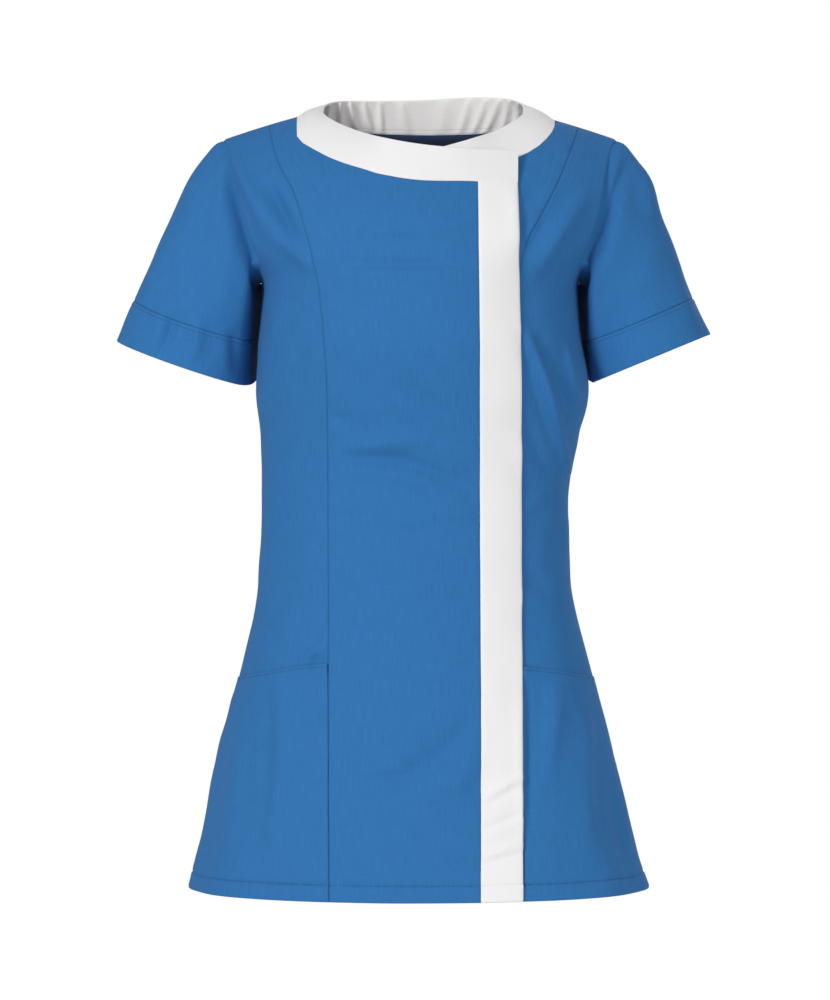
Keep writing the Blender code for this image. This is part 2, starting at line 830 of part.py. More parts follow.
cloth_piece("front_centre", shell(on_form("front", centre_front())), BLUE, WALL)
cloth_piece("front_side_right", shell(on_form("front", front_side("right"))), BLUE, WALL)
cloth_piece("front_left_centre", shell(on_form("front", under_front(), sunk)), BLUE, WALL)
cloth_piece("front_left_side", shell(on_form("front", front_side("left"), sunk)), BLUE, WALL)
cloth_piece("back", shell(on_form("back", back_places())), BLUE, WALL)
cloth_piece("placket", shell(on_form("front", strip_places())), WHITE, DOUBLE_WALL)
cloth_piece("neckband", shell(neckband()), WHITE, DOUBLE_WALL)
for hand in ("right", "left"):
    over = WALL + POCKET_GAP
    lift = over if hand == "right" else lambda side, turn, rise: sunk(side, turn, rise) + over
    cloth_piece("pocket_" + hand, shell(on_form("front", pocket_places(hand), lift)), BLUE, WALL)
    sleeve, cuff = sleeve_grids(hand)
    if hand == "right":
        sleeve, cuff = [line[::-1] for line in sleeve], [line[::-1] for line in cuff]
    cloth_piece("sleeve_" + hand, tube_shell(sleeve, SEAM_GAP), BLUE, WALL, closed=True)
    cloth_piece("cuff_" + hand, tube_shell(cuff, SEAM_GAP / 2), BLUE, DOUBLE_WALL, closed=True)
inside = -(WALL + FACING_GAP)
cloth_piece("back_neck_facing", shell(on_form("back", facing_places(), inside)), NAVY, FACING_WALL)
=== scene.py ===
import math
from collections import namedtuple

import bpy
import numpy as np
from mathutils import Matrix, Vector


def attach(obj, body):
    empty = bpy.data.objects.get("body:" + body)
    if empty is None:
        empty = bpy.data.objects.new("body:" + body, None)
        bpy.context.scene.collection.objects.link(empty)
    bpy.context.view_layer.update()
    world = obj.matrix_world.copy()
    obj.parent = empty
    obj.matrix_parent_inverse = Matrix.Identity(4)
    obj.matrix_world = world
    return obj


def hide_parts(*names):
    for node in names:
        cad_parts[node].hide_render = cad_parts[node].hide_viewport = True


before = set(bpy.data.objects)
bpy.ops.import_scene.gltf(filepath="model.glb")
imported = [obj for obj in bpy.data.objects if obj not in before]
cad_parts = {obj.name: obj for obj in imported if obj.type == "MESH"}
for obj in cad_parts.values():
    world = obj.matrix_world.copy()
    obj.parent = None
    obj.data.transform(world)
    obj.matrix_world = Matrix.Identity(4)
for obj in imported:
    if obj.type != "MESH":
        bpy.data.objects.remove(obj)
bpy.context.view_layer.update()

# Cloth of a women's medical tunic, laid on the solids of the model.
# Metres, +Z up. The front faces -Y and +X is the wearer's left. A place on the garment
# is a turn (-1 right side seam, 1 left side seam) and a rise (-1 hem, 0 armpit, 1 ridge).
# Past 1 the rise goes over the ridge and down the other side.

# Thicknesses of the cloth
SEEN_WALL = 0.0006
BAND_THICK = 0.0016
CUFF_THICK = 0.0016

HALF_TURN = math.pi / 2
TINY = 1e-12

# Heights, half-widths and depths of the form, as in the model
HEM = -0.721
ARMPIT = -0.152
Level = namedtuple("Level", "height right left front back")
LEVELS = (
    Level(-0.7210, 0.2160, 0.2140, 0.130, 0.125),
    Level(-0.6590, 0.2020, 0.1940, 0.127, 0.124),
    Level(-0.5840, 0.1880, 0.1780, 0.121, 0.120),
    Level(-0.5085, 0.1660, 0.1580, 0.112, 0.110),
    Level(-0.4330, 0.1510, 0.1410, 0.103, 0.095),
    Level(-0.3580, 0.1485, 0.1390, 0.101, 0.088),
    Level(-0.3000, 0.1490, 0.1490, 0.110, 0.093),
    Level(-0.2550, 0.1540, 0.1590, 0.124, 0.102),
    Level(-0.2100, 0.1520, 0.1520, 0.134, 0.109),
    Level(ARMPIT, 0.1465, 0.1465, 0.133, 0.112),
)
RIDGE_TOP = 0.022
RIDGE_DROP = 0.574
RIDGE_POWER = 1.556
SHOULDER_SPREAD = 0.0515
SPREAD_POWER = {"front": 3.0, "back": 2.2}
FULLNESS = {"front": 1.55, "back": 1.9}
ROUNDNESS = {"front": 0.92, "back": 0.88}
SIGN = {"front": -1.0, "back": 1.0}
OTHER = {"front": "back", "back": "front"}
SHOULDER_SEAM_RISE = 0.92
ARMPIT_ROUND = 0.012

# Seams seen from the front or the back, in the model's own sizes
Spot = namedtuple("Spot", "x height")


def spots(*pairs):
    return tuple(Spot(*pair) for pair in pairs)


PRINCESS = {
    "right": spots(
        (-0.1331, -0.0403), (-0.1143, -0.0804), (-0.1035, -0.1170), (-0.0945, -0.1529),
        (-0.0880, -0.2041), (-0.0846, -0.2636), (-0.0841, -0.4128), (-0.0838, -0.5071),
        (-0.0823, HEM),
    ),
    "left": spots(
        (0.1399, -0.0327), (0.1284, -0.0623), (0.1157, -0.0889), (0.1024, -0.1165),
        (0.0923, -0.1477), (0.0867, -0.2131), (0.0876, -0.3215), (0.0882, -0.5038),
        (0.0883, HEM),
    ),
}
PRINCESS_TOP = {"right": -0.1411, "left": 0.1485}
STRIP_INNER = spots(
    (0.0526, -0.0680), (0.0530, -0.1418), (0.0541, -0.2675), (0.0551, -0.5392),
    (0.0547, HEM),
)
STRIP_OUTER = spots(
    (0.0893, -0.0680), (0.0904, -0.1406), (0.0926, -0.2670), (0.0936, -0.5400),
    (0.0928, HEM),
)
UNDER_EDGE_SHIFT = 0.0015
ARMHOLE = {
    "front": spots(
        (0.1845, -0.0225), (0.1765, -0.0380), (0.1704, -0.0683), (0.1662, -0.0903),
        (0.1580, -0.1150), (0.1480, -0.1380),
    ),
    "back": spots(
        (0.1845, -0.0225), (0.1790, -0.0450), (0.1730, -0.0750), (0.1670, -0.1050),
        (0.1560, -0.1350),
    ),
}
NECK_POINT = {"right": -0.1153, "left": 0.1266}
NECK = {
    "right": spots(
        (-0.1140, -0.0217), (-0.1062, -0.0294), (-0.0958, -0.0360), (-0.0854, -0.0424),
        (-0.0715, -0.0489), (-0.0539, -0.0552), (-0.0347, -0.0615), (0.0062, -0.0675),
        (0.0526, -0.0680),
    ),
    "left": spots(
        (0.1250, -0.0110), (0.1176, -0.0225), (0.1069, -0.0324), (0.0899, -0.0415),
        (0.0730, -0.0498), (0.0541, -0.0591),
    ),
    "back": spots(
        (-0.1080, -0.0020), (-0.0800, -0.0060), (0.0050, -0.0080), (0.0900, -0.0060),
        (0.1190, -0.0030),
    ),
}
NECK_STEEP_SPOTS = 4

# Neckband: it stands at front and back and lies over at the sides. Its free edge goes from
# the hidden end, round the neck, to the end that shows on the strip.
BandSpot = namedtuple("BandSpot", "share x y height")
BAND_EDGE = (
    BandSpot(0.000, 0.0181, -0.0850, -0.0360),
    BandSpot(0.047, 0.0457, -0.0730, -0.0269),
    BandSpot(0.119, 0.0711, -0.0500, -0.0160),
    BandSpot(0.152, 0.0834, -0.0400, -0.0088),
    BandSpot(0.180, 0.0921, -0.0300, -0.0025),
    BandSpot(0.204, 0.0967, -0.0190, 0.0030),
    BandSpot(0.233, 0.0978, -0.0030, 0.0110),
    BandSpot(0.260, 0.0944, 0.0130, 0.0173),
    BandSpot(0.306, 0.0789, 0.0310, 0.0230),
    BandSpot(0.363, 0.0478, 0.0445, 0.0253),
    BandSpot(0.427, 0.0039, 0.0510, 0.0236),
    BandSpot(0.491, -0.0390, 0.0445, 0.0221),
    BandSpot(0.548, -0.0712, 0.0300, 0.0206),
    BandSpot(0.592, -0.0864, 0.0130, 0.0165),
    BandSpot(0.622, -0.0911, -0.0030, 0.0106),
    BandSpot(0.651, -0.0911, -0.0180, 0.0045),
    BandSpot(0.700, -0.0808, -0.0400, -0.0060),
    BandSpot(0.766, -0.0544, -0.0620, -0.0192),
    BandSpot(0.838, -0.0239, -0.0850, -0.0292),
    BandSpot(0.912, 0.0236, -0.0905, -0.0362),
    BandSpot(1.000, 0.0893, -0.0725, -0.0390),
)
BAND_HIDDEN_END = spots((0.0200, -0.0690), (0.0370, -0.0650))
BAND_CROWN = 0.0035
BAND_SAMPLES = {"hidden end": 17, "left": 49, "back": 241, "right": 81, "end that shows": 19}
BAND_FOLD_STEPS = 7

# Rows up a face of the neckband, and where its rows of stitches are, up it and along it
BAND_FACE = (0, 0.012, 0.03, 0.06, 0.1, 0.14, 0.2, 0.28, 0.4, 0.52, 0.64, 0.76, 0.86, 0.93, 0.97, 1)
BAND_STITCH_ROWS = (0.03, 0.14)
BAND_STITCH_ENDS = (0.24, 0.68)

# The two ends of the neckband part a little where one lies over the other
OVERLAP_OUT = 0.0022
OVERLAP_OUT_SHARES = (0.94, 0.99)
OVERLAP_IN = 0.0006
OVERLAP_IN_SHARES = (0.10, 0.17)

# Wrinkles on the inner face of the neckband: where along it, how far they slant, how wide
# and how high they are
Wrinkle = namedtuple("Wrinkle", "share slant width lift")
WRINKLES = (
    Wrinkle(0.626, 0.012, 0.0040, 0.0045),
    Wrinkle(0.600, 0.014, 0.0045, 0.0056),
    Wrinkle(0.571, 0.015, 0.0040, 0.0062),
    Wrinkle(0.548, 0.012, 0.0036, 0.0058),
    Wrinkle(0.5265, 0.012, 0.0034, 0.0052),
    Wrinkle(0.506, 0.010, 0.0032, 0.0044),
    Wrinkle(0.487, 0.004, 0.0036, 0.0030),
    Wrinkle(0.455, 0.006, 0.0070, 0.0026),
    Wrinkle(0.402, -0.003, 0.0090, 0.0018),
    Wrinkle(0.372, -0.010, 0.0050, 0.0030),
    Wrinkle(0.350, -0.014, 0.0040, 0.0040),
    Wrinkle(0.330, -0.017, 0.0040, 0.0052),
    Wrinkle(0.309, -0.017, 0.0038, 0.0046),
    Wrinkle(0.288, -0.020, 0.0045, 0.0052),
)

# The left front lies lower under the overlap
SINK = 0.0026
SINK_FULL_X = 0.0945
SINK_NONE_X = 0.1250

# Sleeves
Sleeve = namedtuple("Sleeve", "x height half_width slope half_depth dip")
SLEEVES = {
    "right": Sleeve(-0.2246, -0.2284, 0.0636, math.radians(19.0), 0.052, 0.004),
    "left": Sleeve(0.2174, -0.2242, 0.0603, math.radians(22.4), 0.052, 0.0),
}

# Rows of a sleeve and of its cuff beyond the even ones, as shares of their length
SLEEVE_EXTRA_ROWS = (0.004, 0.010, 0.023, 0.030, 0.985, 0.993)
CUFF_EXTRA_ROWS = (0.02, 0.05, 0.96, 0.985)

# Creases of a sleeve start this far below the armhole and blend from front to back
SLEEVE_CALM = 0.02
FRONT_TO_BACK = 0.25

# The cuff is sewn on over the sleeve
CUFF_LIFT = 0.0004
CUFF_STITCH_ROW = 3
CUFF_DEPTH = {"right": 0.0375, "left": 0.0335}

# The hem of a sleeve faces a little to the side and up
VIEW_TURN = 0.074
VIEW_RISE = 0.045

# How a sleeve leaves the armhole, at its top and under the arm, and arrives at its hem
LEAVE_TOP = (0.085, -0.020)
LEAVE_LOW = (0.030, -0.045)
LEAVE_SWELL = 0.020
LEAVE_AHEAD_TOP = 0.034
LEAVE_AHEAD_LOW = -0.010
SLEEVE_FLARE = 0.10
ARRIVE_LOW = 0.10
ARRIVE_TOP = 0.20

# Its edge is tucked in under the edge of the body
TUCK_IN = 0.0017
TUCK_UNDER = 0.0022
TUCK_FADE = 0.009

# A hollow below the armhole in front, where the sleeve's cloth dips in
GAP_DEPTH = 0.011
GAP_REACH = 0.0055
GAP_MIDDLE = 0.36
GAP_SPREAD = 0.13

# The inner back hangs in to the side of the body
DRAPE_MIDDLE = 0.57
DRAPE_SPREAD = 0.085
DRAPE_START = 0.003
DRAPE_CLEAR = 0.0032

# Pockets
POCKET = {
    "right": spots((-0.0838, -0.5071), (-0.1097, -0.5095), (-0.1379, -0.5160)),
    "left": spots((0.0882, -0.5093), (0.1285, -0.5150), (0.1400, -0.5175)),
}
POCKET_SIDE_HEIGHT = -0.5245
POCKET_LIFT = 0.0009

# Rows of a pocket from the hem to its opening; stitches follow one row below the opening
POCKET_ROWS = 84
POCKET_EXTRA_ROWS = (0.0028, 0.0065, 0.066, 0.07, 0.074, 0.988, 0.993, 0.997)
POCKET_STITCH_ROW = -5

# The hem's stitches run over the pockets, beyond this distance from the middle
POCKETS_MIDDLE = -0.003
POCKETS_START = 0.0865

# The opening stands off a little near the seam in front
GAPE = 0.0030
GAPE_DOWN = 0.010
GAPE_PLACE = 0.008
GAPE_WIDTH = 0.009

# Contrast strip
PLACKET_LIFT = 0.0004
STRIP_CLEARANCE = 0.0006

# A sheet inside the back neck, just inside the back panel below the band, in dark navy: painted shade
# for the shaded inside of the back
SHADE_SHEET_DEPTH = 0.050
SHADE_SHEET_GAP = 0.0028
SHADE_SHEET_START = 0.10
SHADE_SHEET_COLUMNS = 60
SHADE_SHEET_ROWS = 14

# Upright folds of the skirt, as in the model
Fold = namedtuple("Fold", "side turn width lift top")
FOLDS = (
    Fold("front", -0.62, 0.13, 0.0035, -0.45),
    Fold("front", -0.80, 0.10, -0.0030, -0.40),
    Fold("front", 0.60, 0.12, 0.0030, -0.50),
    Fold("front", 0.78, 0.10, -0.0035, -0.40),
    Fold("back", -0.70, 0.14, 0.0040, -0.45),
    Fold("back", -0.36, 0.16, -0.0045, -0.50),
    Fold("back", 0.02, 0.18, 0.0050, -0.45),
    Fold("back", 0.38, 0.15, -0.0040, -0.50),
    Fold("back", 0.72, 0.13, 0.0040, -0.40),
)

# Creases pressed or worn into the cloth, seen from the front or the back. They run from one
# end to the other, some with a bow to the side. A lift is a ridge, a negative one a trough.
Crease = namedtuple("Crease", "x1 z1 x2 z2 width lift bow", defaults=(0.0,))
CREASES = {
    "front": (
        # chest, at the armholes
        Crease(-0.176, -0.031, -0.136, -0.120, 0.0073, 0.0026),
        Crease(-0.142, -0.064, -0.113, -0.126, 0.0064, -0.0030),
        Crease(-0.128, -0.119, -0.095, -0.151, 0.0064, 0.0014),
        Crease(-0.125, -0.166, -0.138, -0.215, 0.0073, 0.0010),
        Crease(-0.111, -0.203, -0.109, -0.267, 0.0082, -0.0007),
        Crease(0.157, -0.070, 0.100, -0.161, 0.0082, 0.0022, 0.0027),
        Crease(0.095, -0.071, 0.098, -0.131, 0.0055, -0.0013),
        Crease(0.118, -0.098, 0.101, -0.131, 0.0055, -0.0008),
        # across the chest and the waist
        Crease(-0.089, -0.143, 0.052, -0.145, 0.0055, -0.0013, 0.0018),
        Crease(-0.089, -0.115, 0.045, -0.115, 0.0055, -0.0006),
        Crease(-0.025, -0.250, 0.029, -0.286, 0.0091, -0.0013),
        Crease(-0.082, -0.281, -0.062, -0.289, 0.0064, -0.0009),
        Crease(-0.082, -0.323, 0.051, -0.353, 0.0064, -0.0017, -0.0137),
        Crease(-0.073, -0.309, 0.014, -0.304, 0.0082, 0.0011),
        Crease(-0.082, -0.375, -0.053, -0.374, 0.0064, -0.0009),
        Crease(-0.035, -0.393, 0.020, -0.385, 0.0082, -0.0009),
        Crease(0.004, -0.365, 0.054, -0.374, 0.0082, 0.0009),
        Crease(-0.082, -0.438, -0.060, -0.436, 0.0064, -0.0009),
        Crease(-0.073, -0.458, -0.024, -0.468, 0.0091, 0.0009),
        # below the right armpit
        Crease(0.094, -0.196, 0.140, -0.334, 0.0046, 0.0024),
        Crease(0.109, -0.203, 0.145, -0.298, 0.0064, -0.0026),
        Crease(0.134, -0.209, 0.145, -0.275, 0.0036, 0.0015),
        Crease(0.097, -0.289, 0.120, -0.338, 0.0073, -0.0012),
        Crease(0.095, -0.363, 0.117, -0.356, 0.0073, 0.0008),
        Crease(0.095, -0.429, 0.122, -0.443, 0.0082, -0.0008),
        Crease(0.137, -0.372, 0.130, -0.430, 0.0055, 0.0007),
        # skirt
        Crease(-0.082, -0.617, 0.054, -0.543, 0.0109, -0.0018, 0.0255),
        Crease(-0.080, -0.571, 0.020, -0.564, 0.0109, 0.0007),
        Crease(0.029, -0.624, 0.055, -0.588, 0.0091, 0.0008),
        Crease(-0.131, -0.512, -0.138, -0.683, 0.0064, 0.0017, -0.0073),
        Crease(-0.153, -0.539, -0.162, -0.680, 0.0082, -0.0010),
        Crease(-0.112, -0.529, -0.108, -0.598, 0.0082, -0.0006),
        Crease(-0.120, -0.421, -0.137, -0.476, 0.0082, -0.0006),
        Crease(-0.111, -0.508, -0.085, -0.487, 0.0032, 0.0011),
        Crease(0.126, -0.519, 0.114, -0.618, 0.0082, 0.0016),
        Crease(0.151, -0.541, 0.158, -0.639, 0.0073, 0.0008),
        Crease(0.157, -0.581, 0.171, -0.688, 0.0082, -0.0012),
        Crease(0.184, -0.599, 0.198, -0.696, 0.0055, 0.0010),
        Crease(0.099, -0.509, 0.100, -0.677, 0.0036, -0.0014, 0.0018),
        Crease(0.052, -0.630, 0.096, -0.607, 0.0034, 0.0010),
        Crease(0.052, -0.657, 0.096, -0.641, 0.0032, -0.0009),
        Crease(0.052, -0.680, 0.096, -0.670, 0.0034, 0.0009),
        Crease(-0.103, -0.5030, -0.083, -0.5015, 0.0016, -0.0011),
        Crease(-0.178, -0.545, -0.192, -0.612, 0.0022, -0.0007),
    ),
    "back": (
        Crease(-0.140, -0.175, -0.060, -0.260, 0.010, 0.0012, 0.008),
        Crease(-0.120, -0.160, -0.080, -0.300, 0.009, -0.0010, 0.010),
        Crease(0.142, -0.178, 0.070, -0.250, 0.010, 0.0011, -0.007),
        Crease(0.118, -0.165, 0.088, -0.290, 0.009, -0.0011, -0.010),
        Crease(-0.110, -0.330, 0.060, -0.345, 0.010, -0.0009, 0.008),
        Crease(-0.050, -0.360, 0.120, -0.350, 0.011, 0.0009, -0.006),
        Crease(-0.120, -0.385, 0.020, -0.392, 0.010, 0.0007, 0.005),
        Crease(-0.090, -0.100, 0.100, -0.090, 0.016, -0.0006, 0.010),
        Crease(-0.060, -0.560, -0.095, -0.680, 0.013, 0.0009, 0.006),
        Crease(0.050, -0.570, 0.080, -0.690, 0.012, 0.0008, -0.006),
    ),
}
SLEEVE_CREASES = {
    "front": (
        Crease(-0.192, -0.031, -0.216, -0.155, 0.0085, -0.0018, -0.0038),
        Crease(-0.231, -0.104, -0.259, -0.174, 0.0094, 0.0010),
        Crease(-0.177, -0.106, -0.180, -0.174, 0.0075, 0.0010),
        Crease(-0.225, -0.178, -0.239, -0.225, 0.0056, -0.0022),
        Crease(-0.204, -0.187, -0.210, -0.230, 0.0075, 0.0020),
        Crease(-0.173, -0.198, -0.171, -0.245, 0.0056, -0.0012),
        Crease(0.197, -0.037, 0.165, -0.140, 0.0075, -0.0030, 0.0047),
        Crease(0.210, -0.025, 0.218, -0.097, 0.0085, 0.0018),
        Crease(0.250, -0.136, 0.267, -0.204, 0.0075, -0.0010),
        Crease(0.164, -0.166, 0.160, -0.219, 0.0066, 0.0012),
        Crease(0.221, -0.109, 0.207, -0.170, 0.0113, 0.0006),
    ),
    "back": (
        Crease(-0.170, -0.070, -0.185, -0.180, 0.009, -0.0026, 0.006),
        Crease(-0.195, -0.060, -0.215, -0.185, 0.010, 0.0018, 0.006),
        Crease(0.172, -0.075, 0.182, -0.180, 0.009, -0.0028, -0.006),
        Crease(0.200, -0.055, 0.214, -0.180, 0.010, 0.0020, -0.006),
    ),
}

# How strong all creases are, how they fade towards their ends, and the soft hollow beside each
CREASE_STRENGTH = 2.4
CREASE_FADE = 0.8
BESIDE_AWAY = 1.7
BESIDE_WIDTH = 1.3
BESIDE_SHARE = 0.45

# Creases die away between these rises, below the shoulder ridge
CALM_RISES = (0.80, 0.98)

# Slight unevenness of all the cloth: waves, each so many to a metre
SEED = 11
RIPPLE_COUNT = 26
RIPPLE_WAVES = (6.0, 30.0)
RIPPLE_HEIGHT = 0.010
RIPPLE_STRENGTH = 0.12

# Seams and hem
SEAM_DIP = 0.0007
SEAM_ROLL = 0.0011
ALLOWANCE = 0.010
ALLOWANCE_FADE = 0.004
ALLOWANCE_LIFT = 0.00035
HEM_DEPTH = 0.015
HEM_EDGE = (0.001, 0.002)
HEM_LIFT = 0.0004
HEM_ROLL = 0.0009
HEM_RISE = -1 + HEM_DEPTH / (ARMPIT - HEM)
TURN_UP_INSIDE = 0.0016

# The hem puckers a little along its stitches, which lie in a groove
PUCKER = 0.00018
PUCKER_WAVES = (760, 61, 1130)
PUCKER_REACH = 0.006
GROOVE_DEPTH = 0.0013
GROOVE_WIDTH = 0.0011

# Stitches
STITCH_SPACING = 0.0027
STITCH_LENGTH = 0.0021
STITCH_WIDTH = 0.00055
STITCH_HEIGHT = 0.00024
STITCH_FULL = 0.25
STITCH_AIM = 0.001
STITCH_RING = ((1, 0), (0, 1), (-1, 0), (0, -1))
HEM_STITCH_SPOTS = 240
STRIP_STITCH_SPOTS = 30

# Grid sizes: the model's own numbers of rows and columns, and how many finer ones fill each
ROWS_BELOW = 16
ROWS_ABOVE = 10
BELOW_SHARE = ROWS_BELOW / (ROWS_BELOW + ROWS_ABOVE)
ROW_CROWDING = 1.35
COLUMN_REACH = 0.6
TURNED_FRONT = 0.5
TURNED_BACK = 0.2
BORDER_STEP = 0.04
BORDER_BEND = 0.6
NORMAL_STEP = 0.004
SEAM_PASSES = 8
MODEL_COLUMNS = {"right": 12, "left": 8, "back": 24}

# How many of them lie along the shoulder seam
CORNER_COLUMNS = {"right": 1, "left": 1, "back": 3}
CORNER = {name: CORNER_COLUMNS[name] / MODEL_COLUMNS[name] for name in MODEL_COLUMNS}

FINE_BELOW = 190
FINE_ABOVE = 60
SLEEVE_AROUND = 160
SLEEVE_ROWS = 60
CUFF_ROWS = 14

# Rows and columns beyond the even ones: metres from the hem, shares near the top, metres
# from a seam
HEM_ROWS = (0.0006, 0.0014, 0.0022, 0.0142, 0.0150, 0.0158)
TOP_ROWS = (0.9975, 0.999)
SEAM_COLUMNS = (0.0, 0.0006, 0.0014, 0.0024)

# How many fine columns a panel has, and about how wide it is
Columns = namedtuple("Columns", "count width")
CENTRE_COLUMNS = Columns(72, 0.14)
SIDE_COLUMNS = Columns(46, 0.10)
UNDER_COLUMNS = Columns(40, 0.06)
BACK_COLUMNS = Columns(132, 0.45)
STRIP_COLUMNS = Columns(12, 0.038)

# Colours, in linear light
BLUE = (0.026, 0.146, 0.375)
WHITE = (0.80, 0.79, 0.80)
# The neckband's inner face is the same white cloth as its outer face; this lighter, slightly warm copy
# of it is painted light, brightening an inside that gets little light
PAINTED_LIGHT_WHITE = (0.90, 0.875, 0.86)
# Dark navy of the sheet inside the back neck: painted shade
NAVY_PAINTED_SHADE = (0.026, 0.038, 0.080)
PALE = (0.90, 0.90, 0.90)

# Look of the cloth: its finish, yarns to a metre along and across, and the lines of the twill
FINISH = {
    "Roughness": 0.85,
    "Sheen Weight": 0.04,
    "Sheen Roughness": 0.5,
    "Specular IOR Level": 0.15,
}
YARNS = ((1100.0, 45.0, 1.0), (45.0, 1000.0, 1.0))
YARN_DETAIL = {"Scale": 1.0, "Detail": 2.0}
YARN_RANGE = (0.45, 1.05)
SECOND_SHARE = 0.5
TWILL_SLANT = math.radians(63)
TWILL = {"Scale": 320.0, "Distortion": 0.6, "Detail": 1.0}
WEAVE_HEIGHT = 0.00012
THREAD_ROUGHNESS = 0.55
THREAD_SHADE = {"blue": 0.20, "white": 0.62}

# A record of what a piece of cloth was cut to, as far as it shows, without seam allowances:
# measured along the cloth, all round on a tube, and unfolded on a cuff. No piece is given one here.
Cut = namedtuple("Cut", "piece width length area rests_on")

# Lamps, floor and world
Lamp = namedtuple("Lamp", "name place aim size power")
LAMPS = (
    Lamp("key", (-2.1, -2.7, 0.75), (0, 0, -0.3), 0.9, 78),
    Lamp("fill", (2.6, -2.8, -0.3), (0, 0, -0.35), 2.4, 50),
    Lamp("top", (0.0, -0.8, 2.4), (0, 0, -0.1), 1.2, 5),
    Lamp("back", (1.2, 3.0, 1.2), (0, 0, -0.3), 2.4, 40),
)
SOFT_LIGHT = 0.35
FLOOR_SIZE = 1.6
FLOOR_HEIGHT = -1.15
FLOOR_SIDES = 96
FLOOR_ROUGHNESS = 0.9

# Camera: the photograph's own viewpoint
CAMERA_PLACE = (-0.0047, -3.0, -0.358)
CAMERA_LENS = 114.9
SENSOR = 36.0


def mix(one, other, part):
    return one + (other - one) * part


def smooth_step(value, start, end):
    part = np.clip((value - start) / (end - start), 0.0, 1.0)
    return part * part * (3 - 2 * part)


def unit(vectors):
    return vectors / np.maximum(np.linalg.norm(vectors, axis=-1, keepdims=True), TINY)


def bell(away, width):
    """1 in the middle, falling off to both sides."""
    return np.exp(-((away / width) ** 2))


def hermite(t, start, leave, end, arrive):
    """From start to end as t goes from 0 to 1, with a pull at either end."""
    return (start * (2 * t**3 - 3 * t**2 + 1) + leave * (t**3 - 2 * t**2 + t)
            + end * (3 * t**2 - 2 * t**3) + arrive * (t**3 - t**2))


class Curve:
    """A smooth curve through points that never swings past them; the xs rise."""

    def __init__(self, xs, ys):
        self.xs, self.ys = np.array(xs, float), np.array(ys, float)
        self.deep = (...,) + (None,) * (self.ys.ndim - 1)
        steep = np.diff(self.ys, axis=0) / np.diff(self.xs)[self.deep]
        before, after = steep[:-1], steep[1:]
        same = before * after > 0
        inner = np.where(same, 2 * before * after / np.where(same, before + after, 1.0), 0.0)
        self.tangents = np.concatenate([steep[:1], inner, steep[-1:]])

    def __call__(self, x):
        x = np.clip(x, self.xs[0], self.xs[-1])
        k = np.clip(np.searchsorted(self.xs, x, side="left") - 1, 0, len(self.xs) - 2)
        width = (self.xs[k + 1] - self.xs[k])[self.deep]
        t = (x - self.xs[k])[self.deep] / width
        start = (1 + 2 * t) * (1 - t) ** 2 * self.ys[k] + t * (1 - t) ** 2 * width * self.tangents[k]
        end = t * t * (3 - 2 * t) * self.ys[k + 1] + t * t * (t - 1) * width * self.tangents[k + 1]
        return start + end


level = {
    name: Curve([row.height for row in LEVELS], [getattr(row, name) for row in LEVELS])
    for name in ("right", "left", "front", "back")
}


def ridge(x):
    return RIDGE_TOP - RIDGE_DROP * np.abs(x) ** RIDGE_POWER


def climb_at(side, rise):
    return np.sin(np.clip(rise, 0.0, 1.0) * HALF_TURN) ** (2 / FULLNESS[side])


def half_above(side, climb):
    return LEVELS[-1].left + SHOULDER_SPREAD * (1 - (1 - climb) ** SPREAD_POWER[side])


def eased(above):
    """Height above the armpit, rounded off where the shoulders begin to spread."""
    ramp = np.clip(above + ARMPIT_ROUND, 0.0, None) ** 2 / (4 * ARMPIT_ROUND)
    return np.where(above < ARMPIT_ROUND, ramp, above)


def spread_at(side, across, height):
    """How much wider the form is than its table, on the way up to the shoulders."""
    span = ridge(LEVELS[-1].left * across) - ARMPIT
    return half_above(side, eased(height - ARMPIT) / span) - half_above(side, 0.0)


def middle_and_half(height):
    """Where the middle of the form lies at a height, and how far each side is from it."""
    right, left = level["right"](height), level["left"](height)
    return (left - right) / 2, (left + right) / 2


def on_side(side, turn, rise):
    angle = turn * HALF_TURN
    across = np.sin(angle)
    inward = np.maximum(np.cos(angle), 0.0) ** ROUNDNESS[side]
    height = mix(ARMPIT, HEM, -np.minimum(rise, 0.0))
    middle, half = middle_and_half(height)
    low = np.stack([
        middle + across * (half + spread_at(side, across, height)),
        SIGN[side] * level[side](height) * inward,
        height,
    ], axis=-1)
    climb = climb_at(side, rise)
    depth = level[side](ARMPIT) * climb_at(side, 1 - rise)
    span = ridge(half_above(side, climb) * across) - ARMPIT
    x = half_above(side, eased(climb * span) / span) * across
    high = np.stack([x, SIGN[side] * depth * inward, ARMPIT + climb * (ridge(x) - ARMPIT)], axis=-1)
    return np.where((rise <= 0)[..., None], low, high)


def bare_point(side, turn, rise):
    """The form without folds or creases. Past a rise of 1 it goes down the other side."""
    turn, rise = np.broadcast_arrays(np.asarray(turn, float), np.asarray(rise, float))
    near = on_side(side, turn, np.minimum(rise, 1.0))
    far = on_side(OTHER[side], turn, 2 - np.maximum(rise, 1.0))
    return np.where((rise > 1)[..., None], far, near)


def outward(side, turn, rise):
    turn = np.clip(turn, -1 + NORMAL_STEP, 1 - NORMAL_STEP)
    along = bare_point(side, turn + NORMAL_STEP, rise) - bare_point(side, turn - NORMAL_STEP, rise)
    up = bare_point(side, turn, rise + NORMAL_STEP) - bare_point(side, turn, rise - NORMAL_STEP)
    return unit(np.cross(along, up)) * (1 if side == "front" else -1)


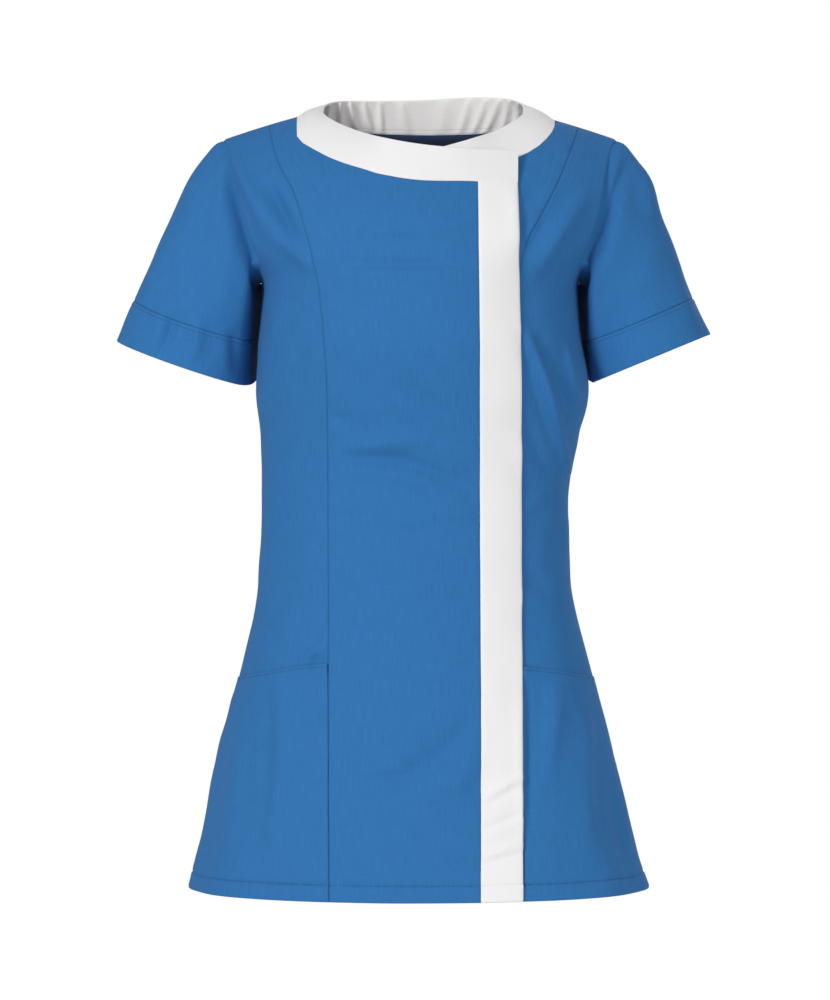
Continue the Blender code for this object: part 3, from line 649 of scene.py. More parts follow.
def crease_lift(creases, side, points):
    lift = np.zeros(points.shape[:-1])
    x, z = points[..., 0], points[..., 2]
    for crease in creases[side]:
        run, drop = crease.x2 - crease.x1, crease.z2 - crease.z1
        length = math.hypot(run, drop)
        part = ((x - crease.x1) * run + (z - crease.z1) * drop) / length**2
        away = ((x - crease.x1) * drop - (z - crease.z1) * run) / length
        away = away - crease.bow * 4 * part * (1 - part)
        fade = np.sin(np.clip(part, 0.0, 1.0) * math.pi) ** CREASE_FADE
        beside = bell(away - BESIDE_AWAY * crease.width, BESIDE_WIDTH * crease.width)
        lift += crease.lift * fade * (bell(away, crease.width) - BESIDE_SHARE * beside)
    return lift * CREASE_STRENGTH


rng = np.random.default_rng(SEED)
Ripple = namedtuple("Ripple", "x z phase size")
RIPPLES = [
    Ripple(*(2 * math.pi * wave * np.array([math.cos(way), math.sin(way)])), phase, RIPPLE_HEIGHT / wave)
    for wave, way, phase in zip(
        rng.uniform(*RIPPLE_WAVES, RIPPLE_COUNT),
        rng.uniform(0, math.pi, RIPPLE_COUNT),
        rng.uniform(0, 2 * math.pi, RIPPLE_COUNT),
    )
]


def ripple_lift(points):
    """Slight unevenness everywhere, so that no stretch of cloth is quite plain."""
    lift = np.zeros(points.shape[:-1])
    for ripple in RIPPLES:
        lift += ripple.size * np.sin(
            ripple.x * points[..., 0] + ripple.z * points[..., 2] + ripple.phase
        )
    return lift * RIPPLE_STRENGTH


def fold_lift(side, turn, rise):
    lift = np.zeros(np.shape(turn))
    for fold in FOLDS:
        if fold.side == side:
            grow = smooth_step(rise, fold.top, -1.0) * (rise < fold.top)
            lift = lift + fold.lift * grow * bell(turn - fold.turn, fold.width)
    return lift


def cloth_lift(side, turn, rise):
    """Folds, creases and unevenness together; they die away over the shoulder ridge."""
    bare = bare_point(side, turn, rise)
    calm = 1 - smooth_step(rise, *CALM_RISES)
    return fold_lift(side, turn, rise) + calm * (
        crease_lift(CREASES, side, bare) + ripple_lift(bare)
    )


def cloth_point(side, places, lift=0.0):
    turn, rise = places[..., 0], places[..., 1]
    away = cloth_lift(side, turn, rise) + lift
    return bare_point(side, turn, rise) + outward(side, turn, rise) * np.asarray(away)[..., None]


def sunk(places):
    x = bare_point("front", places[..., 0], places[..., 1])[..., 0]
    return -SINK * (1 - smooth_step(x, SINK_FULL_X, SINK_NONE_X))


def place(side, x, height):
    """The turn and rise of a spot that is seen from the front or the back."""
    x, height = np.broadcast_arrays(np.asarray(x, float), np.asarray(height, float))
    middle, half = middle_and_half(height)
    climb = np.clip((height - ARMPIT) / (ridge(x) - ARMPIT), 0.0, 1.0)
    across = np.where(height <= ARMPIT, (x - middle) / half, x / half_above(side, climb))
    rise = np.where(
        height <= ARMPIT,
        -(height - ARMPIT) / (HEM - ARMPIT),
        np.arcsin(climb ** (FULLNESS[side] / 2)) / HALF_TURN,
    )
    return np.stack([np.arcsin(np.clip(across, -1.0, 1.0)) / HALF_TURN, rise], axis=-1)


def turn_on_ridge(x):
    return math.asin(x / half_above("front", 1.0)) / HALF_TURN


def seam(spots, top=None):
    """The turn of a lengthwise seam of the front, as a function of the rise."""
    rows = sorted(spots, key=lambda spot: spot.height)
    if top is not None:
        climb = climb_at("front", SHOULDER_SEAM_RISE)
        rows.append(Spot(top, ARMPIT + climb * (ridge(top) - ARMPIT)))
    curve = Curve([row.height for row in rows], [row.x for row in rows])

    def turn_at(rise):
        height = mix(ARMPIT, HEM, -np.minimum(rise, 0.0))
        middle, half = middle_and_half(height)
        off = curve(height) - middle
        low = off / (half + spread_at("front", off / half, height))
        climb = climb_at("front", rise)
        x = curve(np.full(np.shape(rise), ARMPIT))
        for _ in range(SEAM_PASSES):
            x = curve(ARMPIT + climb * (ridge(x) - ARMPIT))
        span = ridge(x) - ARMPIT
        across = np.where(rise <= 0, low, x / half_above("front", eased(climb * span) / span))
        return np.arcsin(np.clip(across, -1.0, 1.0)) / HALF_TURN

    return turn_at


def reach_along(points):
    """How far along a line each of its points is."""
    return np.concatenate([[0.0], np.cumsum(np.linalg.norm(np.diff(points, axis=0), axis=1))])


def shares_of(points):
    reach = reach_along(points)
    return reach / reach[-1]


def along_line(marks):
    marks = np.array(marks)
    turns, rises = (Curve(shares_of(marks), marks[:, axis]) for axis in (0, 1))
    return lambda share: np.stack([turns(share), rises(share)], axis=-1)


def top_rise(side):
    return SHOULDER_SEAM_RISE if side == "front" else 2 - SHOULDER_SEAM_RISE


def armhole(side, hand):
    sign = -1 if hand == "right" else 1
    spots = ARMHOLE[side]
    marks = [(float(sign), 0.0)]
    marks += [tuple(place(side, sign * spot.x, spot.height)) for spot in reversed(spots[1:])]
    marks.append((turn_on_ridge(sign * spots[0].x), top_rise(side)))
    return along_line(marks)


def upper_share(share):
    part = np.clip((share - BELOW_SHARE) / (1 - BELOW_SHARE), 0.0, 1.0)
    return 1 - (1 - part) ** ROW_CROWDING


def lower_rise(share):
    return np.minimum(-1 + share / BELOW_SHARE, 0.0)


def outer_border(side, hand):
    hole = armhole(side, hand)
    sign = -1.0 if hand == "right" else 1.0

    def border(share):
        low = np.stack([np.full(np.shape(share), sign), lower_rise(share)], axis=-1)
        return np.where((share <= BELOW_SHARE)[..., None], low, hole(upper_share(share)))

    return border


def seam_border(line, top):
    def border(share):
        rise = np.where(share > BELOW_SHARE, top * upper_share(share), lower_rise(share))
        return np.stack([line(rise), rise], axis=-1)

    return border


def front_top(hand):
    """The upper border of a centre front, from the princess seam over the neck point inwards."""
    neck = np.array([turn_on_ridge(NECK_POINT[hand]), SHOULDER_SEAM_RISE])
    shoulder = np.array([turn_on_ridge(PRINCESS_TOP[hand]), SHOULDER_SEAM_RISE])
    marks = [tuple(neck)] + [tuple(place("front", *spot)) for spot in NECK[hand]]
    curve = along_line(marks)
    steep = shares_of(np.array(marks))[NECK_STEEP_SPOTS]
    corner = CORNER[hand]
    turned = 2 * corner

    def border(share):
        share = np.asarray(share, float)
        straight = mix(shoulder, neck, np.clip(share / corner, 0, 1)[..., None])
        bent = curve(np.interp(share, (corner, turned, 1.0), (0.0, steep, 1.0)))
        return np.where((share <= corner)[..., None], straight, bent)

    return border


def back_neck():
    rise = top_rise("back")
    marks = [(turn_on_ridge(NECK_POINT["right"]), rise)]
    marks += [tuple(place("back", *spot)) for spot in NECK["back"]]
    marks.append((turn_on_ridge(NECK_POINT["left"]), rise))
    return along_line(marks)


def back_top():
    rise = top_rise("back")
    curve = back_neck()
    tip = turn_on_ridge(ARMHOLE["back"][0].x)
    corner = CORNER["back"]
    ends = np.array([(-tip, rise), (turn_on_ridge(NECK_POINT["right"]), rise),
                     (turn_on_ridge(NECK_POINT["left"]), rise), (tip, rise)])

    def border(share):
        share = np.asarray(share, float)
        first = mix(ends[0], ends[1], np.clip(share / corner, 0, 1)[..., None])
        last = mix(ends[2], ends[3], np.clip((share - 1 + corner) / corner, 0, 1)[..., None])
        bent = curve(np.clip((share - corner) / (1 - 2 * corner), 0, 1))
        inner = np.where((share < corner)[..., None], first, bent)
        return np.where((share > 1 - corner)[..., None], last, inner)

    return border


def top_patch(left, right, columns, marks, top, turned):
    """A patch under a curved top border. Its few marked columns never cross, the others lie
    smoothly between them, and the last rows bend to the border itself."""
    coarse = patch(left, right, ROWS, marks, top, turned)
    grid = Curve(marks, coarse.transpose(1, 0, 2))(columns).transpose(1, 0, 2)
    bend = smooth_step(upper_share(ROWS), BORDER_BEND, 1.0)[:, None, None]
    return grid + bend * (top(columns) - grid[-1])


def patch(left, right, rows, columns, top=None, turned=None):
    """Places between two lengthwise borders; rows and columns are shares from 0 to 1."""
    s = columns[None, :, None]
    grid = mix(left(rows)[:, None, :], right(rows)[:, None, :], s)
    if top is None:
        return grid
    low = np.array([BELOW_SHARE])
    base = mix(left(low), right(low), columns[:, None])
    end = top(columns)
    before = top(np.maximum(columns - BORDER_STEP, 0.0))
    after = top(np.minimum(columns + BORDER_STEP, 1.0))
    run = after - before
    length = np.linalg.norm(run, axis=-1)
    square = np.stack([turned * -run[:, 1] / length, mix(1.0, run[:, 0] / length, turned)], axis=-1)
    reach = np.linalg.norm(end - base, axis=-1)[:, None] * COLUMN_REACH
    leave, arrive = np.array([0.0, 1.0]) * reach, square * reach
    above = rows > BELOW_SHARE
    t = upper_share(rows[above])[:, None, None]
    drawn = hermite(t, base, leave, end, arrive)
    grid[above] = (drawn + (1 - s) * (left(rows[above])[:, None, :] - drawn[:, :1])
                   + s * (right(rows[above])[:, None, :] - drawn[:, -1:]))
    return grid


def fine_rows():
    """Shares of the rows, closer together at the hem, along its stitches and at the top."""
    below = np.linspace(0.0, BELOW_SHARE, FINE_BELOW + 1)
    above = np.linspace(BELOW_SHARE, 1.0, FINE_ABOVE + 1)[1:]
    per_metre = BELOW_SHARE / (ARMPIT - HEM)
    return np.unique(np.concatenate([below, above, np.array(HEM_ROWS) * per_metre, TOP_ROWS]))


def fine_columns(columns):
    """Shares of the columns of a panel, closer together at both of its seams."""
    edge = np.array(SEAM_COLUMNS) / columns.width
    core = np.linspace(edge[-1], 1 - edge[-1], columns.count)
    return np.unique(np.concatenate([edge, core, 1 - edge]))


def cumulative(points, axis):
    steps = np.linalg.norm(np.diff(points, axis=axis), axis=-1)
    pad = [(0, 0), (0, 0)]
    pad[axis] = (1, 0)
    return np.cumsum(np.pad(steps, pad), axis=axis)


def seam_shape(points, rolled, allowance):
    """The cloth rolls down into its seams, and is thicker over a seam's allowances."""
    across, up = cumulative(points, 1), cumulative(points, 0)
    lift = np.zeros(across.shape)
    for name, away in (("left", across), ("right", across[:, -1:] - across), ("top", up[-1:] - up)):
        if name in rolled:
            lift -= SEAM_DIP * bell(away, SEAM_ROLL)
        if name in allowance:
            lift += ALLOWANCE_LIFT * (1 - smooth_step(away, ALLOWANCE, ALLOWANCE + ALLOWANCE_FADE))
    return lift


def hem_shape(side, places):
    """The turned-up hem is double, pulled in along its stitches, and a little uneven."""
    turn, rise = places[..., 0], places[..., 1]
    up = (rise + 1) * (ARMPIT - HEM)
    x = bare_point(side, turn, rise)[..., 0]
    main, drift, second = PUCKER_WAVES
    pucker = PUCKER * (np.sin(x * main + 2 * np.sin(x * drift)) + 0.6 * np.sin(x * second + 1.3))
    double = 1 - smooth_step(up, HEM_DEPTH - HEM_EDGE[0], HEM_DEPTH + HEM_EDGE[1])
    return (HEM_LIFT * double + pucker * bell(up - HEM_DEPTH, PUCKER_REACH)
            - GROOVE_DEPTH * bell(up - HEM_DEPTH, GROOVE_WIDTH) - SEAM_DIP * bell(up, HEM_ROLL))


def add_object(name, data):
    item = bpy.data.objects.new(name, data)
    bpy.context.scene.collection.objects.link(item)
    return item


def mesh_object(name, points, faces, material):
    mesh = bpy.data.meshes.new(name)
    mesh.from_pydata(points, [], faces)
    mesh.shade_smooth()
    mesh.materials.append(material)
    return add_object(name, mesh)


def cells(grid):
    """The four corners of each cell of a grid."""
    return np.stack([grid[:-1, :-1], grid[:-1, 1:], grid[1:, 1:], grid[1:, :-1]], axis=2)


made = {}


def cloth(node, points, material, closed=False, wall=SEEN_WALL):
    """A grid of points as the cloth of one node, with lengths along it in metres as its UVs."""
    rows, columns = points.shape[:2]
    index = np.arange(rows * columns).reshape(rows, columns)
    wrapped = points
    if closed:
        index = np.concatenate([index, index[:, :1]], axis=1)
        wrapped = np.concatenate([points, points[:, :1]], axis=1)
    faces = cells(index).reshape(-1, 4).tolist()
    piece = mesh_object(node + "_cloth", points.reshape(-1, 3).tolist(), faces, material)
    u = np.repeat(cumulative(wrapped[rows // 2][None], 1), rows, axis=0)
    lengths = np.stack([u, cumulative(wrapped, 0)], axis=-1)
    layer = piece.data.uv_layers.new(name="cloth")
    layer.data.foreach_set("uv", cells(lengths).reshape(-1))
    if wall:
        solid = piece.modifiers.new("wall", "SOLIDIFY")
        solid.thickness = wall
        solid.offset = -1.0
    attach(piece, "root")
    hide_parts(node)
    made[node] = piece


def link(tree, one, output, other, target):
    tree.links.new(one.outputs[output], other.inputs[target])


def add_node(tree, kind, values, **settings):
    """A shader node with its own settings and the values of its inputs."""
    node = tree.nodes.new("ShaderNode" + kind)
    for name, value in settings.items():
        setattr(node, name, value)
    for socket, value in values.items():
        node.inputs[socket].default_value = value
    return node


def yarns(tree, uv, scale):
    """Uneven yarns: noise that is drawn out along one way of the cloth."""
    space = add_node(tree, "Mapping", {"Scale": scale})
    noise = add_node(tree, "TexNoise", YARN_DETAIL)
    link(tree, uv, "UV", space, "Vector")
    link(tree, space, "Vector", noise, "Vector")
    return noise


def new_material(name):
    material = bpy.data.materials.new(name)
    material.use_nodes = True
    return material, material.node_tree.nodes["Principled BSDF"]


def cloth_material(name, colour, slub=0.10, weave=0.5):
    """Woven cloth: fine twill lines, uneven yarns and a soft bloom."""
    material, shader = new_material(name)
    tree = material.node_tree
    for socket, value in FINISH.items():
        shader.inputs[socket].default_value = value
    uv = add_node(tree, "UVMap", {}, uv_map="cloth")
    along, across = (yarns(tree, uv, scale) for scale in YARNS)
    both = add_node(tree, "Math", {1: SECOND_SHARE}, operation="MULTIPLY_ADD")
    link(tree, across, "Fac", both, 0)
    link(tree, along, "Fac", both, 2)
    shade = add_node(tree, "MapRange", {
        "From Min": YARN_RANGE[0],
        "From Max": YARN_RANGE[1],
        "To Min": 1.0 - slub,
        "To Max": 1.0 + slub,
    })
    link(tree, both, "Value", shade, "Value")
    tint = add_node(tree, "VectorMath", {0: colour}, operation="SCALE")
    link(tree, shade, "Result", tint, "Scale")
    link(tree, tint, "Vector", shader, "Base Color")
    twill_space = add_node(tree, "Mapping", {"Rotation": (0.0, 0.0, TWILL_SLANT)})
    link(tree, uv, "UV", twill_space, "Vector")
    twill = add_node(tree, "TexWave", TWILL)
    link(tree, twill_space, "Vector", twill, "Vector")
    raised = add_node(tree, "Math", {1: SECOND_SHARE}, operation="MULTIPLY_ADD")
    link(tree, both, "Value", raised, 0)
    link(tree, twill, "Fac", raised, 2)
    bump = add_node(tree, "Bump", {"Strength": weave, "Distance": WEAVE_HEIGHT})
    link(tree, raised, "Value", bump, "Height")
    link(tree, bump, "Normal", shader, "Normal")
    return material


def plain_material(name, colour, roughness):
    material, shader = new_material(name)
    shader.inputs["Base Color"].default_value = (*colour, 1.0)
    shader.inputs["Roughness"].default_value = roughness
    return material


def thread_material(name, colour, shade):
    return plain_material(name, tuple(part * shade for part in colour), THREAD_ROUGHNESS)


blue = cloth_material("blue_twill", BLUE)
white = cloth_material("white_twill", WHITE, slub=0.012, weave=0.4)
# A lighter copy of the white for the neckband's inner face: painted light
inner_face_painted_light = cloth_material("band_inside_painted_light", PAINTED_LIGHT_WHITE, slub=0.03, weave=0.6)
# The dark navy sheet inside the back neck: painted shade
dark_sheet_material = cloth_material("navy_painted_shade", NAVY_PAINTED_SHADE)
blue_thread = thread_material("blue_thread", BLUE, THREAD_SHADE["blue"])
white_thread = thread_material("white_thread", WHITE, THREAD_SHADE["white"])


def sample(values, reach, wanted):
    return np.stack([np.interp(wanted, reach, values[:, axis]) for axis in range(3)], axis=-1)


def stitches(name, lines, material):
    """Rows of stitches; each line is its points and the cloth's normals there."""
    verts, faces = [], []
    for points, normals in lines:
        reach = reach_along(points)
        centres = np.arange(STITCH_SPACING, reach[-1] - STITCH_SPACING / 2, STITCH_SPACING)
        middles, ups = sample(points, reach, centres), unit(sample(normals, reach, centres))
        ahead, behind = (sample(points, reach, centres + step) for step in (STITCH_AIM, -STITCH_AIM))
        alongs = unit(ahead - behind)
        for middle, up, along, aside in zip(middles, ups, alongs, np.cross(ups, alongs)):
            first = len(verts)
            verts.append(middle - along * STITCH_LENGTH / 2 - up * STITCH_HEIGHT)
            for shift in (-STITCH_FULL, STITCH_FULL):
                for wide, high in STITCH_RING:
                    verts.append(middle + along * STITCH_LENGTH * shift
                                 + aside * wide * STITCH_WIDTH / 2 + up * high * STITCH_HEIGHT)
            verts.append(middle + along * STITCH_LENGTH / 2 - up * STITCH_HEIGHT)
            for i in range(4):
                j = (i + 1) % 4
                faces.append((first, first + 1 + i, first + 1 + j))
                faces.append((first + 1 + i, first + 5 + i, first + 5 + j, first + 1 + j))
                faces.append((first + 9, first + 5 + j, first + 5 + i))
    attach(mesh_object(name, [tuple(vert) for vert in verts], faces, material), "root")


stitch_lines = {"blue": [], "white": []}


def stitched(side, places, lift, colour):
    points = cloth_point(side, places, lift)
    stitch_lines[colour].append((points, outward(side, places[..., 0], places[..., 1])))


ROWS = fine_rows()
borders = {
    "princess_right": seam_border(seam(PRINCESS["right"], PRINCESS_TOP["right"]), SHOULDER_SEAM_RISE),
    "princess_left": seam_border(seam(PRINCESS["left"], PRINCESS_TOP["left"]), SHOULDER_SEAM_RISE),
    "strip_inner": seam_border(seam(STRIP_INNER), place("front", *STRIP_INNER[0])[1]),
    "strip_outer": seam_border(seam(STRIP_OUTER), place("front", *STRIP_OUTER[0])[1]),
}
under_edge = [Spot(spot.x + UNDER_EDGE_SHIFT, spot.height) for spot in STRIP_INNER[1:]]
under_edge.insert(0, NECK["left"][-1])
borders["under"] = seam_border(seam(under_edge), place("front", *NECK["left"][-1])[1])

over_top, under_top_out = front_top("right"), front_top("left")


def under_top(share):
    return under_top_out(1 - np.asarray(share, float))


def turned_up(side, places, lift):
    """The part of the hem that is turned up inside, from its upper edge down to the fold."""
    first = int(np.searchsorted(ROWS, HEM_DEPTH * BELOW_SHARE / (ARMPIT - HEM)))
    inside = places[first:0:-1]
    under = lift[first:0:-1] if np.ndim(lift) else lift
    return cloth_point(side, inside, under - TURN_UP_INSIDE)


def panel(node, side, places, lift=0.0, rolled=("left", "right"), allowance=(), hem=True,
          material=blue, wall=SEEN_WALL):
    """One panel of the body: its places on the form become cloth, with its hem turned up."""
    flat = cloth_point(side, places)
    shape = seam_shape(flat, rolled, allowance) + hem_shape(side, places) + lift
    points = cloth_point(side, places, shape)
    if hem:
        points = np.concatenate([turned_up(side, places, lift), points])
    if side == "back":
        points = points[:, ::-1]
    cloth(node, points, material, wall=wall)


marks = np.linspace(0, 1, MODEL_COLUMNS["right"] + 1)
centre = top_patch(borders["princess_right"], borders["strip_inner"], fine_columns(CENTRE_COLUMNS),
                   marks, over_top, np.where(marks > 0, TURNED_FRONT, 0.0))
panel("front_centre", "front", centre, rolled=("left", "right", "top"), allowance=("left",))
side_right = patch(outer_border("front", "right"), borders["princess_right"], ROWS,
                   fine_columns(SIDE_COLUMNS))
panel("front_side_right", "front", side_right)
marks = np.linspace(0, 1, MODEL_COLUMNS["left"] + 1)
under = top_patch(borders["under"], borders["princess_left"], fine_columns(UNDER_COLUMNS),
                  marks, under_top, np.where(marks < 1, TURNED_FRONT, 0.0))
panel("front_left_centre", "front", under, sunk(under), rolled=("right", "top"), allowance=("right",))
side_left = patch(borders["princess_left"], outer_border("front", "left"), ROWS,
                  fine_columns(SIDE_COLUMNS))
panel("front_left_side", "front", side_left, sunk(side_left))
marks = np.linspace(0, 1, MODEL_COLUMNS["back"] + 1)
back = top_patch(outer_border("back", "right"), outer_border("back", "left"),
                 fine_columns(BACK_COLUMNS), marks, back_top(), np.full(len(marks), TURNED_BACK))
panel("back", "back", back, rolled=("left", "right", "top"))
strip = patch(borders["strip_inner"], borders["strip_outer"], ROWS, fine_columns(STRIP_COLUMNS))
panel("placket", "front", strip, PLACKET_LIFT, material=white, wall=BAND_THICK)


def pocket(hand):
    sign = -1 if hand == "right" else 1
    princess = seam(PRINCESS[hand], PRINCESS_TOP[hand])
    marks = [tuple(place("front", *spot)) for spot in POCKET[hand]]
    marks.append((float(sign), float(place("front", 0.0, POCKET_SIDE_HEIGHT)[1])))
    edge = along_line(marks)
    strip_line = seam([Spot(spot.x + STRIP_CLEARANCE, spot.height) for spot in STRIP_OUTER])
    share = fine_columns(SIDE_COLUMNS)
    up = np.unique(np.concatenate([np.linspace(0, 1, POCKET_ROWS), POCKET_EXTRA_ROWS]))
    rise = mix(-1.0, edge(share)[None, :, 1], up[:, None])
    turn = mix(princess(rise), float(sign), share[None, :])
    if hand == "left":
        turn = np.maximum(turn, strip_line(rise))
    grid = np.stack([turn, rise], axis=-1)
    return grid if hand == "left" else grid[:, ::-1]


def pocket_gape(hand, places):
    """The opening edge stands off a little near the seam in front."""
    points = bare_point("front", places[..., 0], places[..., 1])
    start = POCKET[hand][0]
    down = start.height - points[..., 2]
    away = np.abs(points[..., 0] - start.x)
    return GAPE * bell(down, GAPE_DOWN) * bell(away - GAPE_PLACE, GAPE_WIDTH)


for hand in ("right", "left"):
    places = pocket(hand)
    lift = POCKET_LIFT + pocket_gape(hand, places) + (sunk(places) if hand == "left" else 0.0)
    panel("pocket_" + hand, "front", places, lift, hem=False)
    stitched("front", places[POCKET_STITCH_ROW], lift[POCKET_STITCH_ROW], "blue")


def band_seam():
    """The seam line of the neckband, from its hidden end round the neck to the end that shows."""
    hidden = [place("front", *spot) for spot in BAND_HIDDEN_END]
    hidden = np.array(hidden + [under_top_out(np.array(1.0))])
    steps = np.linspace(0, 1, BAND_SAMPLES["hidden end"])[:-1]
    line = np.stack([np.interp(steps, (0, 0.5, 1), hidden[:, axis]) for axis in (0, 1)], axis=-1)
    share = mix(1.0, CORNER["left"], np.linspace(0, 1, BAND_SAMPLES["left"])[:-1])
    places = np.concatenate([line, under_top_out(share)])
    first = cloth_point("front", places, sunk(places))
    second = cloth_point("back", back_neck()(np.linspace(1, 0, BAND_SAMPLES["back"])))
    third = cloth_point("front", over_top(np.linspace(CORNER["right"], 1, BAND_SAMPLES["right"])[1:]))
    rows = np.array([1.0])
    across = np.linspace(0, 1, BAND_SAMPLES["end that shows"])[1:]
    ends = mix(borders["strip_inner"](rows), borders["strip_outer"](rows), across[:, None])
    return np.concatenate([first, second, third, cloth_point("front", ends)])


band_tracks = [
    Curve([row.share for row in BAND_EDGE], [getattr(row, name) for row in BAND_EDGE])
    for name in ("x", "y", "height")
]


def band_ring(low):
    """A folded band: its outer face, a round fold along the free edge and its inner face."""
    shares = shares_of(low)
    high = np.stack([track(shares) for track in band_tracks], axis=-1)
    up = unit(high - low)
    along = unit(np.gradient(low, axis=0))
    out = unit(np.cross(along, up))
    lying = 1 - up[:, 2] ** 2
    apart = (OVERLAP_OUT * smooth_step(shares, *OVERLAP_OUT_SHARES)
             - OVERLAP_IN * (1 - smooth_step(shares, *OVERLAP_IN_SHARES)))
    high = high + out * apart[:, None]
    arch = np.array([0.0, 0.0, BAND_CROWN])
    half = BAND_THICK / 2

    def face(part):
        return mix(low, high, part) + arch * (lying * 4 * part * (1 - part))[:, None]

    ring = [face(part) for part in BAND_FACE]
    for angle in np.linspace(0, math.pi, BAND_FOLD_STEPS)[1:-1]:
        ring.append(high - out * half + out * half * math.cos(angle) + up * half * math.sin(angle))
    for part in BAND_FACE[::-1]:
        wrinkled = np.zeros(len(low))
        for wrinkle in WRINKLES:
            away = shares - wrinkle.share - 2 * wrinkle.slant * (part - 0.5)
            wrinkled += wrinkle.lift * bell(away, wrinkle.width)
        wrinkled *= math.sin(math.pi * part) ** 0.5
        ring.append(face(part) - out * (BAND_THICK + wrinkled)[:, None])
    return np.array(ring), out


seam_points = band_seam()
ring, band_out = band_ring(seam_points)
cloth("neckband", ring[::-1].transpose(1, 0, 2), white, closed=True, wall=None)
band = made["neckband"].data
band.materials.append(inner_face_painted_light)
# The inner face of the neckband takes the lighter copy of the white: painted light
inside = np.zeros((len(seam_points) - 1, len(ring)), int)
inside[:, :len(BAND_FACE) - 1] = 1
band.polygons.foreach_set("material_index", inside.reshape(-1))
seam_shares = shares_of(seam_points)
shown = (seam_shares > BAND_STITCH_ENDS[0]) & (seam_shares < BAND_STITCH_ENDS[1])
for part in BAND_STITCH_ROWS:
    stitch_lines["white"].append((ring[-1 - BAND_FACE.index(part)][shown], -band_out[shown]))


def armhole_loop(hand):
    """Points from the shoulder down the front to the armpit and up the back, with the body's
    normals there."""
    front, back_line = armhole("front", hand), armhole("back", hand)
    part = np.linspace(0, 1, SLEEVE_AROUND // 2 + 1)
    share = 1 - (1 - part) ** ROW_CROWDING
    down, up = front(share[::-1]), back_line(share[1:-1])
    points = np.concatenate([cloth_point("front", down), cloth_point("back", up)])
    normals = np.concatenate([outward("front", down[:, 0], down[:, 1]),
                              outward("back", up[:, 0], up[:, 1])])
    return points, normals


def tuck(loop, normals, hand):
    """The sleeve's edge goes in under the edge of the body."""
    along = np.roll(loop, -1, axis=0) - np.roll(loop, 1, axis=0)
    across = unit(np.cross(normals, along))
    inward = 1.0 if hand == "right" else -1.0
    across *= np.sign(across[:, :1] * inward)
    return -normals * TUCK_IN + across * TUCK_UNDER


def sleeve_columns(hand):
    size = SLEEVES[hand]
    sign = -1.0 if hand == "right" else 1.0
    loop, loop_normals = armhole_loop(hand)
    count = len(loop)
    angle = (2 * math.pi * np.arange(count) / count)[:, None]
    outer = np.array([sign * math.cos(size.slope), 0, math.sin(size.slope)])
    rise = VIEW_RISE + size.dip / size.half_depth
    behind = unit(np.array([VIEW_TURN * sign, 1.0, rise]))
    down = np.array([sign * math.sin(size.slope), 0, -math.cos(size.slope)])
    middle = np.array([size.x, 0, size.height])
    hem = (middle + outer * size.half_width * np.cos(angle)
           - behind * size.half_depth * np.sin(angle))
    top, ahead = (1 + np.cos(angle)) / 2, np.sin(angle)
    leave = np.concatenate([
        sign * (mix(LEAVE_LOW[0], LEAVE_TOP[0], top) + LEAVE_SWELL * np.abs(ahead)),
        -mix(LEAVE_AHEAD_LOW, LEAVE_AHEAD_TOP, top) * ahead,
        mix(LEAVE_LOW[1], LEAVE_TOP[1], top),
    ], axis=-1)
    arrive = (down + outer * SLEEVE_FLARE * np.cos(angle)) * mix(ARRIVE_LOW, ARRIVE_TOP, top)
    stop = 1 - CUFF_DEPTH[hand] / np.linalg.norm(hem - loop, axis=-1)

    def points(share):
        return hermite(share[..., None], loop, leave, hem, arrive)

    return points, stop, tuck(loop, loop_normals, hand)


def drape(points, hand):
    """The inner back of a sleeve hangs in to the side of the body, so no gap shows there."""
    sign = -1 if hand == "right" else 1
    y, z = points[..., 1], points[..., 2]
    front = y < 0
    depth = np.where(front, level["front"](z), level["back"](z))
    power = np.where(front, 1 / ROUNDNESS["front"], 1 / ROUNDNESS["back"])
    inward = np.clip(np.abs(y) / depth, 0, 1) ** power
    middle, half = middle_and_half(z)
    reach = np.sqrt(1 - inward**2) * half + sign * middle
    around = np.arange(points.shape[1]) / points.shape[1]
    share = np.exp(-(((around - DRAPE_MIDDLE) / DRAPE_SPREAD) ** 4))
    share = share * smooth_step(ARMPIT - z, -DRAPE_START, DRAPE_START)
    over = np.maximum(points[..., 0] * sign - reach - DRAPE_CLEAR, 0.0)
    draped = points.copy()
    draped[..., 0] -= sign * over * share
    return draped


def tube_normals(points, hand):
    along = np.roll(points, -1, axis=1) - np.roll(points, 1, axis=1)
    down = np.gradient(points, axis=0)
    normal = unit(np.cross(down, along))
    return normal if hand == "right" else -normal


def sleeve_lift(points, normals):
    front = smooth_step(-normals[..., 1], -FRONT_TO_BACK, FRONT_TO_BACK)
    lift = (front * crease_lift(SLEEVE_CREASES, "front", points)
            + (1 - front) * crease_lift(SLEEVE_CREASES, "back", points))
    return lift + ripple_lift(points)


